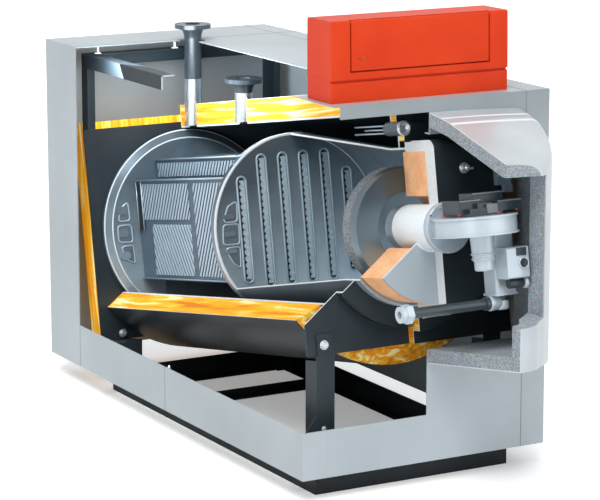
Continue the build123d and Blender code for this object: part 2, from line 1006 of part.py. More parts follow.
with BuildPart() as flow_pipe:
    add(connection_pipe(flow_pipe_at, flow_pipe_top))
finish(flow_pipe, "flow_pipe")

with BuildPart() as return_pipe:
    add(connection_pipe(return_pipe_at, return_pipe_top))
finish(return_pipe, "return_pipe")

with BuildPart() as sensor_tube:
    with BuildSketch(across(sensor_end)):
        with Locations((0, sensor_height)):
            Circle(sensor_radius)
    extrude(amount=sensor_end - sensor_start)
    with BuildSketch(across(sensor_end - sensor_wall)):
        with Locations((0, sensor_height)):
            Circle(sensor_radius - sensor_wall)
    extrude(amount=sensor_end, mode=Mode.SUBTRACT)
finish(sensor_tube, "sensor_tube")

# Burner door: steel dish, fibre lining, backing plate and refractory ring
fibre_outer = door_radius - door_wall - seat
fibre_start = door_front + door_wall + seat
fibre_end = fibre_start + fibre_front
collar_radius = blast_radius + seat
with BuildPart() as door_shell:
    add(
        turned(
            [
                (collar_radius, door_front),
                (door_radius, door_front),
                (door_radius, door_rim_at),
                (door_radius - door_wall, door_rim_at),
                (door_radius - door_wall, door_front + door_wall),
                (collar_radius, door_front + door_wall),
            ],
            half_arc,
            [
                ((door_radius, door_front), door_edge_radius),
                ((door_radius - door_wall, door_front + door_wall), door_edge_radius - door_wall),
            ],
        )
    )
finish(door_shell, "door_shell")

with BuildPart() as door_fibre:
    add(
        turned(
            [
                (collar_radius, fibre_start),
                (fibre_outer, fibre_start),
                (fibre_outer, neck_end - seat),
                (fibre_outer - fibre_side, neck_end - seat),
                (fibre_outer - fibre_side, fibre_end),
                (collar_radius, fibre_end),
            ],
            half_arc,
            [((fibre_outer, fibre_start), door_edge_radius - door_wall - seat)],
        )
    )
finish(door_fibre, "door_fibre")

backing_start = fibre_end + seat
backing_end = backing_start + backing_wall
refractory_outer = fibre_outer - fibre_side - seat
with BuildPart() as door_backing:
    add(
        turned(
            [
                (collar_radius, backing_start),
                (refractory_outer, backing_start),
                (refractory_outer, backing_end),
                (collar_radius, backing_end),
            ],
            section_arc,
        )
    )
finish(door_backing, "door_backing")

with BuildPart() as refractory_front:
    add(
        turned(
            [
                (refractory_inner, backing_end + seat),
                (refractory_outer, backing_end + seat),
                (refractory_outer, refractory_split),
                (refractory_inner, refractory_split),
            ],
            section_arc,
        )
    )
finish(refractory_front, "refractory_front")

with BuildPart() as refractory_back:
    add(
        turned(
            [
                (refractory_inner, refractory_split + seat),
                (refractory_outer, refractory_split + seat),
                (refractory_outer, refractory_end),
                (refractory_inner, refractory_end),
            ],
            section_arc,
        )
    )
finish(refractory_back, "refractory_back")

ring_start = refractory_end + seat
with BuildPart() as flame_ring:
    with BuildSketch(section):
        with BuildLine():
            front = Line((ring_inner, ring_start), (ring_outer - overrun / 3, ring_start))
            side = Line(front @ 1, (ring_outer, ring_end))
            dish = ThreePointArc(
                side @ 1,
                ((ring_inner + ring_outer) / 2, ring_end - ring_dish * 0.8),
                (ring_inner, ring_end - ring_dish),
            )
            Line(dish @ 1, front @ 0)
        make_face()
    revolve(axis=body_axis)
finish(flame_ring, "flame_ring")

# Burner
with BuildPart() as blast_tube:
    add(
        turned(
            [
                (blast_radius - blast_wall, blast_start + burner_flange_depth),
                (blast_radius, blast_start + burner_flange_depth),
                (blast_radius, blast_end),
                (blast_radius - blast_wall, blast_end),
            ],
            360,
        )
    )
finish(blast_tube, "blast_tube")

fan_low = -fan_drop
fan_high = fan_height - fan_drop
fan_plane_origin = body_point(0, fan_at, fan_low)
fan_plane = Plane(origin=fan_plane_origin, x_dir=(1, 0, 0), z_dir=up_dir)
outlet_half = burner_flange_radius * 0.72
flange_face = blast_start + burner_flange_depth - seat

with BuildPart() as burner_flange:
    with BuildSketch(across(flange_face)):
        Circle(burner_flange_radius)
    extrude(amount=burner_flange_depth)
    fillet(burner_flange.edges().filter_by(GeomType.CIRCLE), burner_flange_depth / 6)
finish(burner_flange, "burner_flange")

flange_front = flange_face - burner_flange_depth - seat
outlet_reach = flange_front - fan_at
with BuildPart() as fan_housing:
    with BuildSketch(fan_plane):
        Circle(fan_radius)
        with BuildLine():
            Polyline(
                (-outlet_half, outlet_reach),
                (outlet_half, outlet_reach),
                (fan_radius * 0.94, 0),
                (-fan_radius * 0.94, 0),
                close=True,
            )
        make_face()
    extrude(amount=fan_height - fan_lid)
    with BuildSketch(fan_plane):
        Circle(fan_radius + fan_lip)
    extrude(amount=fan_lip)
finish(fan_housing, "fan_housing")

lid_plane = fan_plane.offset(fan_height - fan_lid + seat)
with BuildPart() as fan_lid_plate:
    with BuildSketch(lid_plane):
        Circle(fan_radius + fan_lip)
        with BuildLine():
            Polyline(
                (-outlet_half, outlet_reach),
                (outlet_half, outlet_reach),
                (fan_radius * 0.94, 0),
                (-fan_radius * 0.94, 0),
                close=True,
            )
        make_face()
    extrude(amount=fan_lid)
finish(fan_lid_plate, "fan_lid")

motor_top = fan_low - seat
motor_plane = Plane(origin=body_point(0, motor_at, motor_top), x_dir=(1, 0, 0), z_dir=up_dir)
with BuildPart() as burner_motor:
    with BuildSketch(motor_plane):
        Circle(motor_radius)
    extrude(amount=-motor_length, taper=motor_taper)
    with BuildSketch(motor_plane.offset(-motor_length)):
        Circle(motor_cap_radius)
    extrude(amount=-motor_cap_length)
    fillet(burner_motor.edges().group_by(Axis.Z)[0], motor_cap_length / 5)
finish(burner_motor, "burner_motor")

block_plane = Plane(
    origin=body_point(block_across, block_at, motor_top),
    x_dir=(1, 0, 0),
    z_dir=up_dir,
)
with BuildPart() as gas_block:
    with BuildSketch(block_plane):
        RectangleRounded(block_width, block_depth, block_width / 8)
    extrude(amount=-block_height)
    with BuildSketch(block_plane.offset(-block_height)):
        RectangleRounded(block_width + 2 * fan_lip, block_depth + fan_lip, block_width / 8)
    extrude(amount=-fan_lid)
finish(gas_block, "gas_block")

valve_plane = block_plane.offset(-valve_drop)
valve_at = -(block_depth / 2 + seat)
with BuildPart() as gas_valve:
    with BuildSketch(valve_plane):
        with Locations((valve_shift, valve_at)):
            Rectangle(valve_width, valve_depth, align=(Align.CENTER, Align.MAX))
    extrude(amount=-valve_height)
    fillet(gas_valve.edges().filter_by(Axis.X), valve_width / 14)
finish(gas_valve, "gas_valve")

stub_top = block_height + fan_lid
stub_plane = block_plane.offset(-stub_top - seat)
stub_centre = stub_plane.origin + stub_plane.z_dir * (-gas_stub_drop / 2)
pipe_plane = Plane(origin=stub_centre, x_dir=(0, 1, 0), z_dir=(-1, 0, 0))
with BuildPart() as gas_pipe:
    with BuildSketch(stub_plane):
        Circle(gas_stub_radius)
    extrude(amount=-gas_stub_drop)
    with BuildSketch(pipe_plane):
        Circle(gas_pipe_radius)
    extrude(amount=gas_pipe_length)
    with BuildSketch(pipe_plane.offset(gas_stub_radius)):
        Circle(gas_fitting_radius)
    extrude(amount=gas_fitting_length)
finish(gas_pipe, "gas_pipe")

nut_plane = pipe_plane.offset(gas_pipe_length + seat)
with BuildPart() as gas_nut:
    with BuildSketch(nut_plane):
        RegularPolygon(gas_nut_radius, 6)
        Circle(gas_pipe_radius * 0.72, mode=Mode.SUBTRACT)
    extrude(amount=gas_nut_length * 0.6)
    with BuildSketch(nut_plane.offset(gas_nut_length * 0.6)):
        Circle(gas_nut_radius * 0.82)
        Circle(gas_pipe_radius * 0.72, mode=Mode.SUBTRACT)
    extrude(amount=gas_nut_length * 0.4)
finish(gas_nut, "gas_nut")

box_plane = lid_plane.offset(fan_lid + seat)
with BuildPart() as burner_box:
    with BuildSketch(box_plane):
        with Locations((0, fan_radius * 0.05)):
            Rectangle(fan_radius * 0.9, fan_radius * 1.2)
    extrude(amount=box_height * 0.6)
    with BuildSketch(box_plane):
        with Locations((0, -fan_radius * 0.1)):
            Rectangle(fan_radius * 0.4, fan_radius * 0.8)
    extrude(amount=box_height)
finish(burner_box, "burner_box")


# Burner hood: a bulged cover with a thin skin and a foam lining
def hood_form(inset, back_run):
    """Solid form of the hood, drawn in by an inset and run past its back edge."""
    half = hood_half_width - inset
    depth = hood_reach - inset
    rise = (hood_floor_front - hood_floor_back) / hood_reach
    back_fall = (hood_crown_back - hood_crown_knee) / hood_knee
    front_fall = (hood_crown_knee - hood_crown_front) / (hood_reach - hood_knee)
    places = (
        (-back_run, hood_crown_back + back_fall * back_run),
        (hood_knee, hood_crown_knee),
        (hood_reach + overrun, hood_crown_front - front_fall * overrun),
    )
    profiles = []
    for along, crown_height in places:
        low = floor_z + hood_floor_back + rise * along + inset
        crown = floor_z + crown_height - inset
        with BuildSketch(cross_wall(-along), mode=Mode.PRIVATE) as profile:
            with BuildLine():
                Polyline(
                    (half + overrun, crown - hood_shoulder_drop),
                    (half + overrun, low),
                    (-half - overrun, low),
                    (-half - overrun, crown - hood_shoulder_drop),
                )
                ThreePointArc(
                    (-half - overrun, crown - hood_shoulder_drop),
                    (0, crown),
                    (half + overrun, crown - hood_shoulder_drop),
                )
            make_face()
        profiles.append(profile.sketch)
    corner_half = hood_corner_half_width - inset
    corner_y = front_y - depth + hood_corner_back
    side_half = (half + corner_half) / 2 + hood_side_bulge
    side_y = (front_y + corner_y) / 2
    back_y = front_y + back_run
    with BuildPart(mode=Mode.PRIVATE) as form:
        loft(sections=profiles, ruled=True)
        with BuildSketch() as plan:
            with BuildLine():
                Polyline(
                    (-half, front_y),
                    (-half, back_y + seat),
                    (half, back_y + seat),
                    (half, front_y),
                )
                ThreePointArc((half, front_y), (side_half, side_y), (corner_half, corner_y))
                ThreePointArc(
                    (corner_half, corner_y), (0, front_y - depth), (-corner_half, corner_y)
                )
                ThreePointArc((-corner_half, corner_y), (-side_half, side_y), (-half, front_y))
            make_face()
            fillet(plan.vertices().group_by(Axis.Y)[0], hood_corner_radius - inset)
        extrude(amount=top_z + hood_reach, mode=Mode.INTERSECT)
        roof = form.faces().filter_by(lambda face: face.normal_at().Z > 0.9)
        edges = [
            edge
            for face in roof
            for edge in face.edges()
            if edge.center().Y < back_y - seat
            and (abs(edge.center().X) > hood_knee or edge.center().Y < front_y - hood_knee)
        ]
        fillet(edges, hood_shoulder_radius - inset)
    return form.part


def hood_window():
    """Window cut out of the front of the hood, above its sill."""
    side_drop = casing_width * tan(radians(window_lean))
    with BuildPart(mode=Mode.PRIVATE) as window:
        with BuildSketch(level(window_sill)):
            with BuildLine():
                Polyline(
                    (-casing_width, front_y - window_start),
                    (0, front_y - window_start),
                    (casing_width, front_y - window_start - side_drop),
                    (casing_width, front_y - 2 * hood_reach),
                    (-casing_width, front_y - 2 * hood_reach),
                    close=True,
                )
            make_face()
        extrude(amount=casing_height)
        with BuildSketch(level(window_sill)):
            with Locations((window_side, front_y - window_back)):
                Rectangle(casing_width, hood_reach, align=(Align.MAX, Align.MAX))
        extrude(amount=window_top - window_sill)
    return window.part


with BuildPart() as hood_skin_piece:
    add(hood_form(0, 0))
    add(hood_form(hood_skin, overrun), mode=Mode.SUBTRACT)
    split(bisect_by=Plane.YZ, keep=Keep.TOP)
    add(hood_window(), mode=Mode.SUBTRACT)
finish(hood_skin_piece, "hood_skin")

with BuildPart() as hood_foam:
    add(hood_form(hood_skin + seat, 0))
    add(hood_form(hood_skin + seat + hood_foam_wall, overrun), mode=Mode.SUBTRACT)
    split(bisect_by=Plane.YZ, keep=Keep.TOP)
    add(hood_window(), mode=Mode.SUBTRACT)
finish(hood_foam, "hood_foam")

# Control unit with a flap that swings up
control_front = front_y + control_setback
control_back = control_front + control_depth
base_low = top_z + seat
unit_low = base_low + control_base_height + seat
unit_top = unit_low + control_height
control_plane = Plane.YZ.offset(-control_half_width)

with BuildPart() as control_base:
    with BuildSketch(control_plane):
        with BuildLine():
            Polyline(
                (control_front, base_low),
                (control_back, base_low),
                (control_back, base_low + control_base_height),
                (control_front + control_groove, base_low + control_base_height),
                (control_front + control_groove, base_low + control_base_height - control_groove),
                (control_front, base_low + control_base_height - control_groove),
                close=True,
            )
        make_face()
    extrude(amount=2 * control_half_width)
    fillet(control_base.edges().filter_by(Axis.Z), control_corner / 2)
finish(control_base, "control_base")

face_length = sqrt(control_lean**2 + control_height**2)
control_face = Plane(
    origin=(0, control_front, unit_low),
    x_dir=(1, 0, 0),
    z_dir=(0, -control_height / face_length, control_lean / face_length),
)
hinge_up = face_length - flap_top_margin
hinge_in = flap_thickness / 2
flap_low = hinge_up - flap_height
recess_depth = flap_thickness + flap_gap
hinge_plane = Plane(
    origin=control_face.from_local_coords((0, hinge_up, -hinge_in)),
    x_dir=(0, 0, 1),
    z_dir=(1, 0, 0),
)
bore_half = flap_half_width + pin_length + pin_end_gap

with BuildPart() as control_unit:
    with BuildSketch(control_plane):
        with BuildLine():
            Polyline(
                (control_front, unit_low),
                (control_back, unit_low),
                (control_back, unit_top),
                (control_front + control_lean, unit_top),
                close=True,
            )
        make_face()
    extrude(amount=2 * control_half_width)
    fillet(control_unit.edges().filter_by(Axis.X).group_by(Axis.Z)[-1], control_corner)
    with BuildSketch(control_face):
        with Locations((0, flap_low - flap_gap)):
            Rectangle(
                2 * (flap_half_width + flap_gap),
                flap_height + control_height,
                align=(Align.CENTER, Align.MIN),
            )
    extrude(amount=-recess_depth, mode=Mode.SUBTRACT)
    with BuildSketch(hinge_plane.offset(-bore_half)):
        Circle(pin_radius + pin_gap)
    extrude(amount=2 * bore_half, mode=Mode.SUBTRACT)
finish(control_unit, "control_unit")

with BuildPart() as control_flap:
    with BuildSketch(control_face):
        with Locations((0, flap_low)):
            Rectangle(2 * flap_half_width, flap_height, align=(Align.CENTER, Align.MIN))
    extrude(amount=-flap_thickness)
    fillet(control_flap.edges().filter_by(Axis.X).group_by(Axis.Z)[0], flap_thickness / 4)
    with BuildSketch(hinge_plane.offset(-flap_half_width)):
        Circle(hinge_radius)
    extrude(amount=2 * flap_half_width)
    with BuildSketch(hinge_plane.offset(-flap_half_width - pin_length)):
        Circle(pin_radius)
    extrude(amount=2 * (flap_half_width + pin_length))
finish(control_flap, "control_flap")
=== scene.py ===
import json
import math

import bpy
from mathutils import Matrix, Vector


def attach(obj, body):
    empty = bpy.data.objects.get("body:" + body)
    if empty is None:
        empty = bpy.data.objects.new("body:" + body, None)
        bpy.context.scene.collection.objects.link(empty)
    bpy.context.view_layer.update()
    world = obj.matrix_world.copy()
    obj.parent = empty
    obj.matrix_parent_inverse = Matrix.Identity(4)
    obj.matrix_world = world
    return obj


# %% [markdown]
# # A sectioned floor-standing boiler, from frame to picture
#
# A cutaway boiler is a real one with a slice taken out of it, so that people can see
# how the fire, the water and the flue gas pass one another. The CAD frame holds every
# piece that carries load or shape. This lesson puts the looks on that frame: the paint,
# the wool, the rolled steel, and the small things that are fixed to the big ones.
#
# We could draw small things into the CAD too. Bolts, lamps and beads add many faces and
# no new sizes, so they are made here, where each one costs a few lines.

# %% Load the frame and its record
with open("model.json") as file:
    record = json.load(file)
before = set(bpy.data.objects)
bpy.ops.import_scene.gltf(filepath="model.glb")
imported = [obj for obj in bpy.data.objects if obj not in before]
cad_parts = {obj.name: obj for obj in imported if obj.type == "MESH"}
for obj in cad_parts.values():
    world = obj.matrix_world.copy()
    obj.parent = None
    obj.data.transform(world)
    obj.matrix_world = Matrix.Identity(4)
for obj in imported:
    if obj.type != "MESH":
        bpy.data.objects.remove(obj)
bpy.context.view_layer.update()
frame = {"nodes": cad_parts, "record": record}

# %% [markdown]
# ## Two rulers
#
# The casing stands square on the floor, and the boiler body slopes down to the rear
# inside it. A piece on the casing is easiest to place with a ruler along the casing. A
# piece on the body is easiest to place with a ruler along the sloping axis. Both rulers
# here count in millimetres, as on a drawing, and give metres, which Blender works in.

# %% Rulers for the casing and for the sloping body
TILT = math.radians(9.8)
FRONT = -889.5
AXIS = 1025.0
CASING_FOOT = 95.0
BACK = Vector((0.0, math.cos(TILT), -math.sin(TILT)))
UP = Vector((0.0, math.sin(TILT), math.cos(TILT)))
SIDE = Vector((1.0, 0.0, 0.0))
SKY = Vector((0.0, 0.0, 1.0))
AHEAD = Vector((0.0, -1.0, 0.0))
REARWARD = Vector((0.0, 1.0, 0.0))


def at(x, y, z):
    """Point from the casing ruler: across, behind the casing front, above the floor."""
    return Vector((x, FRONT + y, z)) / 1000


def on_body(x, along, over):
    """Point from the body ruler: across, along the axis, over the axis."""
    return (Vector((x, FRONT, AXIS)) + BACK * along + UP * over) / 1000


AXIS_FRONT = on_body(0, 0, 0)
print("front end of the axis at", [round(v, 3) for v in AXIS_FRONT])

# %% [markdown]
# ## A small kit for small pieces
#
# A turned thing, such as a bolt shank or a knob, is a line swept round an axis. A sheet
# thing, such as a bracket, is an outline with a thickness. Blender has operators for
# both, but they work on a selection. Points and faces that we write ourselves come out
# the same in every run, and pieces of one kind can share one mesh.

class Shapes:
    """Gathers turned and sheet shapes into one mesh, in metres."""

    def __init__(self):
        self.points = []
        self.faces = []
        self.smooth = []

    def circle(self, centre, side, other, radius, steps, shift=Vector()):
        """Points round a centre that is moved by shift, both lengths in millimetres."""
        for k in range(steps):
            turn = 2 * math.pi * k / steps
            out = side * math.cos(turn) + other * math.sin(turn)
            self.points.append(centre + (shift + out * radius) / 1000)

    def band(self, a, b, steps, smooth=True):
        """Faces between two rows of points that start at a and at b."""
        for k in range(steps):
            n = (k + 1) % steps
            self.faces.append((a + k, a + n, b + n, b + k))
            self.smooth.append(smooth)

    def cap(self, first, steps, turned_over=False):
        """One flat face over a row of points."""
        rim = range(first, first + steps)
        self.faces.append(tuple(reversed(rim) if turned_over else rim))
        self.smooth.append(False)

    def turned(self, centre, axis, line, steps=32, smooth=True, caps=True):
        """Sweeps a line of (radius, distance) in millimetres round an axis."""
        axis = axis.normalized()
        side = axis.orthogonal().normalized()
        if abs(axis.dot(SIDE)) < 0.9:
            side = (SIDE - axis * axis.dot(SIDE)).normalized()
        first = len(self.points)
        for radius, distance in line:
            self.circle(centre, side, axis.cross(side), radius, steps, axis * distance)
        last = len(self.points) - steps
        for a in range(first, last, steps):
            self.band(a, a + steps, steps, smooth)
        if caps and line[0][0] > 0.01:
            self.cap(first, steps, turned_over=True)
        if caps and line[-1][0] > 0.01:
            self.cap(last, steps)

    def slab(self, corner, u, v, outline, depth):
        """Outline of (u, v) in millimetres, with a depth along u x v."""
        w = u.cross(v).normalized()
        first = len(self.points)
        count = len(outline)
        for push in (0.0, depth):
            for a, b in outline:
                self.points.append(corner + (u * a + v * b + w * push) / 1000)
        self.cap(first, count, turned_over=True)
        self.cap(first + count, count)
        self.band(first, first + count, count, smooth=False)

    def box(self, centre, u, v, width, height, depth):
        """Block about its centre, with its width along u and its height along v."""
        w = u.cross(v).normalized()
        corner = centre - (u * width + v * height + w * depth) / 2000
        self.slab(corner, u, v, [(0, 0), (width, 0), (width, height), (0, height)], depth)

    def bolt(self, centre, axis, across, head, washer=True):
        """Hexagon head with a chamfer, on a washer a fifth of its height."""
        radius = across / 2 / math.cos(math.radians(30))
        start = head * 0.2 if washer else 0.0
        if washer:
            self.turned(centre, axis, [(radius * 1.28, 0), (radius * 1.28, start)], 28)
        line = [
            (radius, start),
            (radius, start + head * 0.8),
            (radius * 0.84, start + head),
            (0.001, start + head),
        ]
        self.turned(centre, axis, line, 6, smooth=False)


print("turned and sheet shapes ready")

# %% [markdown]
# ## Rods, and the step that makes a piece
#
# A weld bead or a thin pipe is a round rod along a path. The last step links the mesh
# as one piece, gives it a finish, and lets it ride on a body of the machine.

class Kit(Shapes):
    """Adds rods, and turns what was gathered into one piece."""

    def tube(self, path, radius, steps=12):
        """Round rod along a path of points in metres."""
        first = len(self.points)
        for k, p in enumerate(path):
            ahead = path[min(k + 1, len(path) - 1)] - path[max(k - 1, 0)]
            ahead.normalize()
            side = ahead.orthogonal().normalized()
            if abs(ahead.dot(SKY)) < 0.95:
                side = ahead.cross(SKY).normalized()
            self.circle(p, side, side.cross(ahead), radius, steps)
        last = len(self.points) - steps
        for a in range(first, last, steps):
            self.band(a, a + steps, steps)
        self.cap(first, steps, turned_over=True)
        self.cap(last, steps)

    def loop(self, path, radius, upright, steps=10):
        """Closed round rod along a path of points in metres."""
        first = len(self.points)
        count = len(path)
        for k, p in enumerate(path):
            ahead = (path[(k + 1) % count] - path[k - 1]).normalized()
            side = ahead.cross(upright).normalized()
            self.circle(p, side, side.cross(ahead), radius, steps)
        for k in range(count):
            self.band(first + k * steps, first + ((k + 1) % count) * steps, steps)

    def ring(self, along, radius, thick, first=0.0, last=1.0, steps=120):
        """Round rod bent about the body axis, whole or as a share of the turn."""
        closed = last - first > 0.999
        count = max(8, int(steps * (last - first)))
        path = []
        for k in range(count if closed else count + 1):
            turn = 2 * math.pi * (first + (last - first) * k / count)
            path.append(on_body(radius * math.cos(turn), along, radius * math.sin(turn)))
        if closed:
            self.loop(path, thick, BACK)
        else:
            self.tube(path, thick)

    def make(self, name, look, slot, body="boiler", soften=0.0):
        """Turns what was gathered into one piece that rides on a body."""
        mesh = bpy.data.meshes.new(name)
        mesh.from_pydata([tuple(p) for p in self.points], [], self.faces)
        mesh.polygons.foreach_set("use_smooth", self.smooth)
        mesh.update()
        mesh.validate()
        piece = bpy.data.objects.new(name, mesh)
        bpy.context.scene.collection.objects.link(piece)
        mesh.materials.append(look)
        if soften > 0:
            edge = piece.modifiers.new("soft_edges", "BEVEL")
            edge.width = soften / 1000
            edge.segments = 2
            edge.limit_method = "ANGLE"
            edge.angle_limit = math.radians(40)
        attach(piece, body)
        return piece


print("kit ready")

# %% [markdown]
# ## Finishes
#
# Each finish is worked out from the place of a point on the object, so it never slides
# and needs no picture. A finish has a colour that wanders a little, a roughness that
# wanders a little, and a fine relief. A flat colour reads as plastic, so few are left
# flat. The nodes could be laid out by hand in the editor, but a helper that adds and
# links them in one word keeps a whole finish on a few lines.

# %% A helper that does sums with shader nodes
class Nodes:
    """One material, with short words for the nodes that it needs."""

    def __init__(self, name):
        self.material = bpy.data.materials.new(name)
        self.material.use_nodes = True
        self.tree = self.material.node_tree
        self.shader = self.tree.nodes["Principled BSDF"]
        self.place = self.node("ShaderNodeTexCoord").outputs["Object"]
        self.facing = self.node("ShaderNodeNewGeometry").outputs["Normal"]

    def node(self, kind):
        return self.tree.nodes.new(kind)

    def link(self, value, socket):
        """Joins a socket to another node, or gives it a plain value or colour."""
        if isinstance(value, bpy.types.NodeSocket):
            self.tree.links.new(value, socket)
        elif isinstance(value, (tuple, list)) and len(value) == 3 and socket.type == "RGBA":
            socket.default_value = (*value, 1.0)
        else:
            socket.default_value = value

    def sum(self, how, a, b=0.0, c=0.0, clamp=False):
        n = self.node("ShaderNodeMath")
        n.operation = how
        n.use_clamp = clamp
        for value, socket in zip((a, b, c), n.inputs):
            self.link(value, socket)
        return n.outputs[0]

    def plus(self, a, b):
        return self.sum("ADD", a, b)

    def minus(self, a, b, clamp=False):
        return self.sum("SUBTRACT", a, b, clamp=clamp)

    def times(self, a, b):
        return self.sum("MULTIPLY", a, b)

    def scaled(self, value, by, shift, clamp=False):
        return self.sum("MULTIPLY_ADD", value, by, shift, clamp)

    def apart(self, value):
        return self.sum("ABSOLUTE", value)

    def above(self, value, limit):
        return self.sum("GREATER_THAN", value, limit)

    def below(self, value, limit):
        return self.sum("LESS_THAN", value, limit)

    def radius(self, a, b):
        return self.sum("SQRT", self.plus(self.times(a, a), self.times(b, b)))

    def dot(self, vector, direction):
        """How far a vector reaches along a direction."""
        n = self.node("ShaderNodeVectorMath")
        n.operation = "DOT_PRODUCT"
        self.link(vector, n.inputs[0])
        n.inputs[1].default_value = tuple(direction)
        return n.outputs["Value"]


print("sums ready")

# %% [markdown]
# ## Where the saw went
#
# On a cutaway the sawn faces are painted white, so that the eye finds them. Two planes do
# all the sawing here: the upright plane through the middle, and a plane through the body
# axis that falls away to the left. Each sawn face could get a material of its own, but a
# finish can find both planes from the place and the facing alone.

# %% A helper that adds textures, and finds the sawn faces
CUT = math.radians(36)
CUT_NORMAL = SIDE * -math.sin(CUT) + UP * math.cos(CUT)
CUT_OFFSET = CUT_NORMAL.dot(AXIS_FRONT)
SQUARE_ON = 0.9
WHITE_CUT = (0.68, 0.71, 0.73)


class Finish(Nodes):
    """Adds textures, ramps and relief, and the two planes of the cut."""

    def stretched(self, scale):
        n = self.node("ShaderNodeMapping")
        self.link(self.place, n.inputs["Vector"])
        n.inputs["Scale"].default_value = scale
        return n.outputs[0]

    def along_body(self, across, along, over):
        """Place in the body's own directions, each with its own scale."""
        n = self.node("ShaderNodeCombineXYZ")
        for direction, scale, socket in zip((SIDE, BACK, UP), (across, along, over), n.inputs):
            self.link(self.times(self.dot(self.place, direction), scale), socket)
        return n.outputs[0]

    def from_front(self, direction):
        """Distance from the front end of the body axis, along one direction."""
        return self.minus(self.dot(self.place, direction), direction.dot(AXIS_FRONT))

    def noise(self, scale, detail=4.0, rough=0.55, vector=None, warp=0.0):
        n = self.node("ShaderNodeTexNoise")
        self.link(vector if vector is not None else self.place, n.inputs["Vector"])
        n.inputs["Scale"].default_value = scale
        n.inputs["Detail"].default_value = detail
        n.inputs["Roughness"].default_value = rough
        n.inputs["Distortion"].default_value = warp
        return n.outputs["Fac"]

    def cells(self, scale):
        n = self.node("ShaderNodeTexVoronoi")
        self.link(self.place, n.inputs["Vector"])
        n.inputs["Scale"].default_value = scale
        return n

    def ramp(self, value, *stops):
        n = self.node("ShaderNodeValToRGB")
        self.link(value, n.inputs[0])
        band = n.color_ramp
        while len(band.elements) < len(stops):
            band.elements.new(0.5)
        for element, (position, colour) in zip(band.elements, stops):
            element.position = position
            element.color = (*colour, 1.0)
        return n.outputs["Color"]

    def mix(self, share, a, b):
        """Blends two colours, which a mix node takes in its sockets 6 and 7."""
        n = self.node("ShaderNodeMix")
        n.data_type = "RGBA"
        self.link(share, n.inputs["Factor"])
        self.link(a, n.inputs[6])
        self.link(b, n.inputs[7])
        return n.outputs[2]

    def spread(self, value, low, high):
        n = self.node("ShaderNodeMapRange")
        self.link(value, n.inputs["Value"])
        n.inputs["To Min"].default_value = low
        n.inputs["To Max"].default_value = high
        return n.outputs[0]

    def relief(self, height, strength, distance):
        n = self.node("ShaderNodeBump")
        n.inputs["Strength"].default_value = strength
        n.inputs["Distance"].default_value = distance
        self.link(height, n.inputs["Height"])
        self.link(n.outputs[0], self.shader.inputs["Normal"])

    def on_plane(self, away, normal, reach):
        """1 where a face lies within reach of a plane and is square on to it."""
        flat = self.above(self.apart(self.dot(self.facing, normal)), SQUARE_ON)
        return self.times(self.below(self.apart(away), reach), flat)

    def sawn(self):
        """1 on the two planes of the cut, 0 elsewhere."""
        upright = self.on_plane(self.dot(self.place, SIDE), SIDE, 0.0006)
        away = self.minus(self.dot(self.place, CUT_NORMAL), CUT_OFFSET)
        return self.sum("MAXIMUM", upright, self.on_plane(away, CUT_NORMAL, 0.0008))

    def set(self, **values):
        for name, value in values.items():
            self.link(value, self.shader.inputs[name.replace("_", " ")])
        return self


print("cut plane normal", [round(v, 3) for v in CUT_NORMAL])

# %% [markdown]
# ## Sprayed paint
#
# The casing, the frame, the burner and the control unit are sprayed. A sprayed skin has
# small waves, like the peel of an orange, and a colour that is never quite even. Two
# noises give that: a broad one for the colour and a fine one for the gloss. On the casing
# front, painted shade darkens the paint towards its top, under the control unit.

# %% Paint for any sprayed piece
def paint(name, dark, light, rough, cut=False, peel=0.05, metallic=0.0, gloss=0.5, front_painted_shade=0.0):
    """Sprayed paint: a colour that wanders, and the small waves of a sprayed skin."""
    f = Finish(name)
    broad = f.noise(2.2, 3.0, 0.5)
    fine = f.noise(60.0, 4.0, 0.6)
    colour = f.ramp(broad, (0.32, dark), (0.68, light))
    colour = f.mix(f.spread(fine, 0.0, 0.07), colour, [c * 0.78 for c in dark])
    # Painted shade: on faces that look ahead, the colour darkens towards the top.
    if front_painted_shade:
        ahead = f.above(f.dot(f.facing, AHEAD), 0.6)
        rise = f.scaled(f.dot(f.place, SKY), 1.4, -1.15, clamp=True)
        shade = f.times(f.times(ahead, rise), front_painted_shade)
        colour = f.mix(shade, colour, [c * 0.35 for c in dark])
    if cut:
        colour = f.mix(f.sawn(), colour, WHITE_CUT)
    f.relief(f.noise(420.0, 2.0, 0.5), peel, 0.0006)
    return f.set(
        Base_Color=colour,
        Roughness=f.spread(fine, rough - 0.05, rough + 0.08),
        Metallic=metallic,
        Specular_IOR_Level=gloss,
    ).material


big_paints = {
    "plinth_black": ((0.010, 0.014, 0.017), (0.020, 0.026, 0.030), 0.40),
    "casing_silver": ((0.37, 0.425, 0.45), (0.44, 0.495, 0.525), 0.36),
    "frame_black": ((0.013, 0.020, 0.025), (0.026, 0.039, 0.048), 0.42),
    "body_dark_steel": ((0.013, 0.019, 0.023), (0.030, 0.041, 0.049), 0.30),
    "burner_silver": ((0.44, 0.51, 0.57), (0.57, 0.64, 0.69), 0.22),
    "gas_pipe_black": ((0.030, 0.042, 0.048), (0.050, 0.068, 0.078), 0.16),
    "box_black": ((0.018, 0.028, 0.036), (0.038, 0.054, 0.066), 0.22),
    "control_red": ((0.62, 0.032, 0.001), (0.74, 0.056, 0.004), 0.42),
}
extras = {
    "plinth_black": {"gloss": 0.25},
    "casing_silver": {"metallic": 0.15, "front_painted_shade": 0.45},
    "frame_black": {"gloss": 0.28},
    "body_dark_steel": {"cut": True, "gloss": 0.22},
    "burner_silver": {"metallic": 0.25},
    "control_red": {"peel": 0.03, "gloss": 0.22},
}
looks = {name: paint(name, *row, **extras.get(name, {})) for name, row in big_paints.items()}
print("paints:", len(looks))

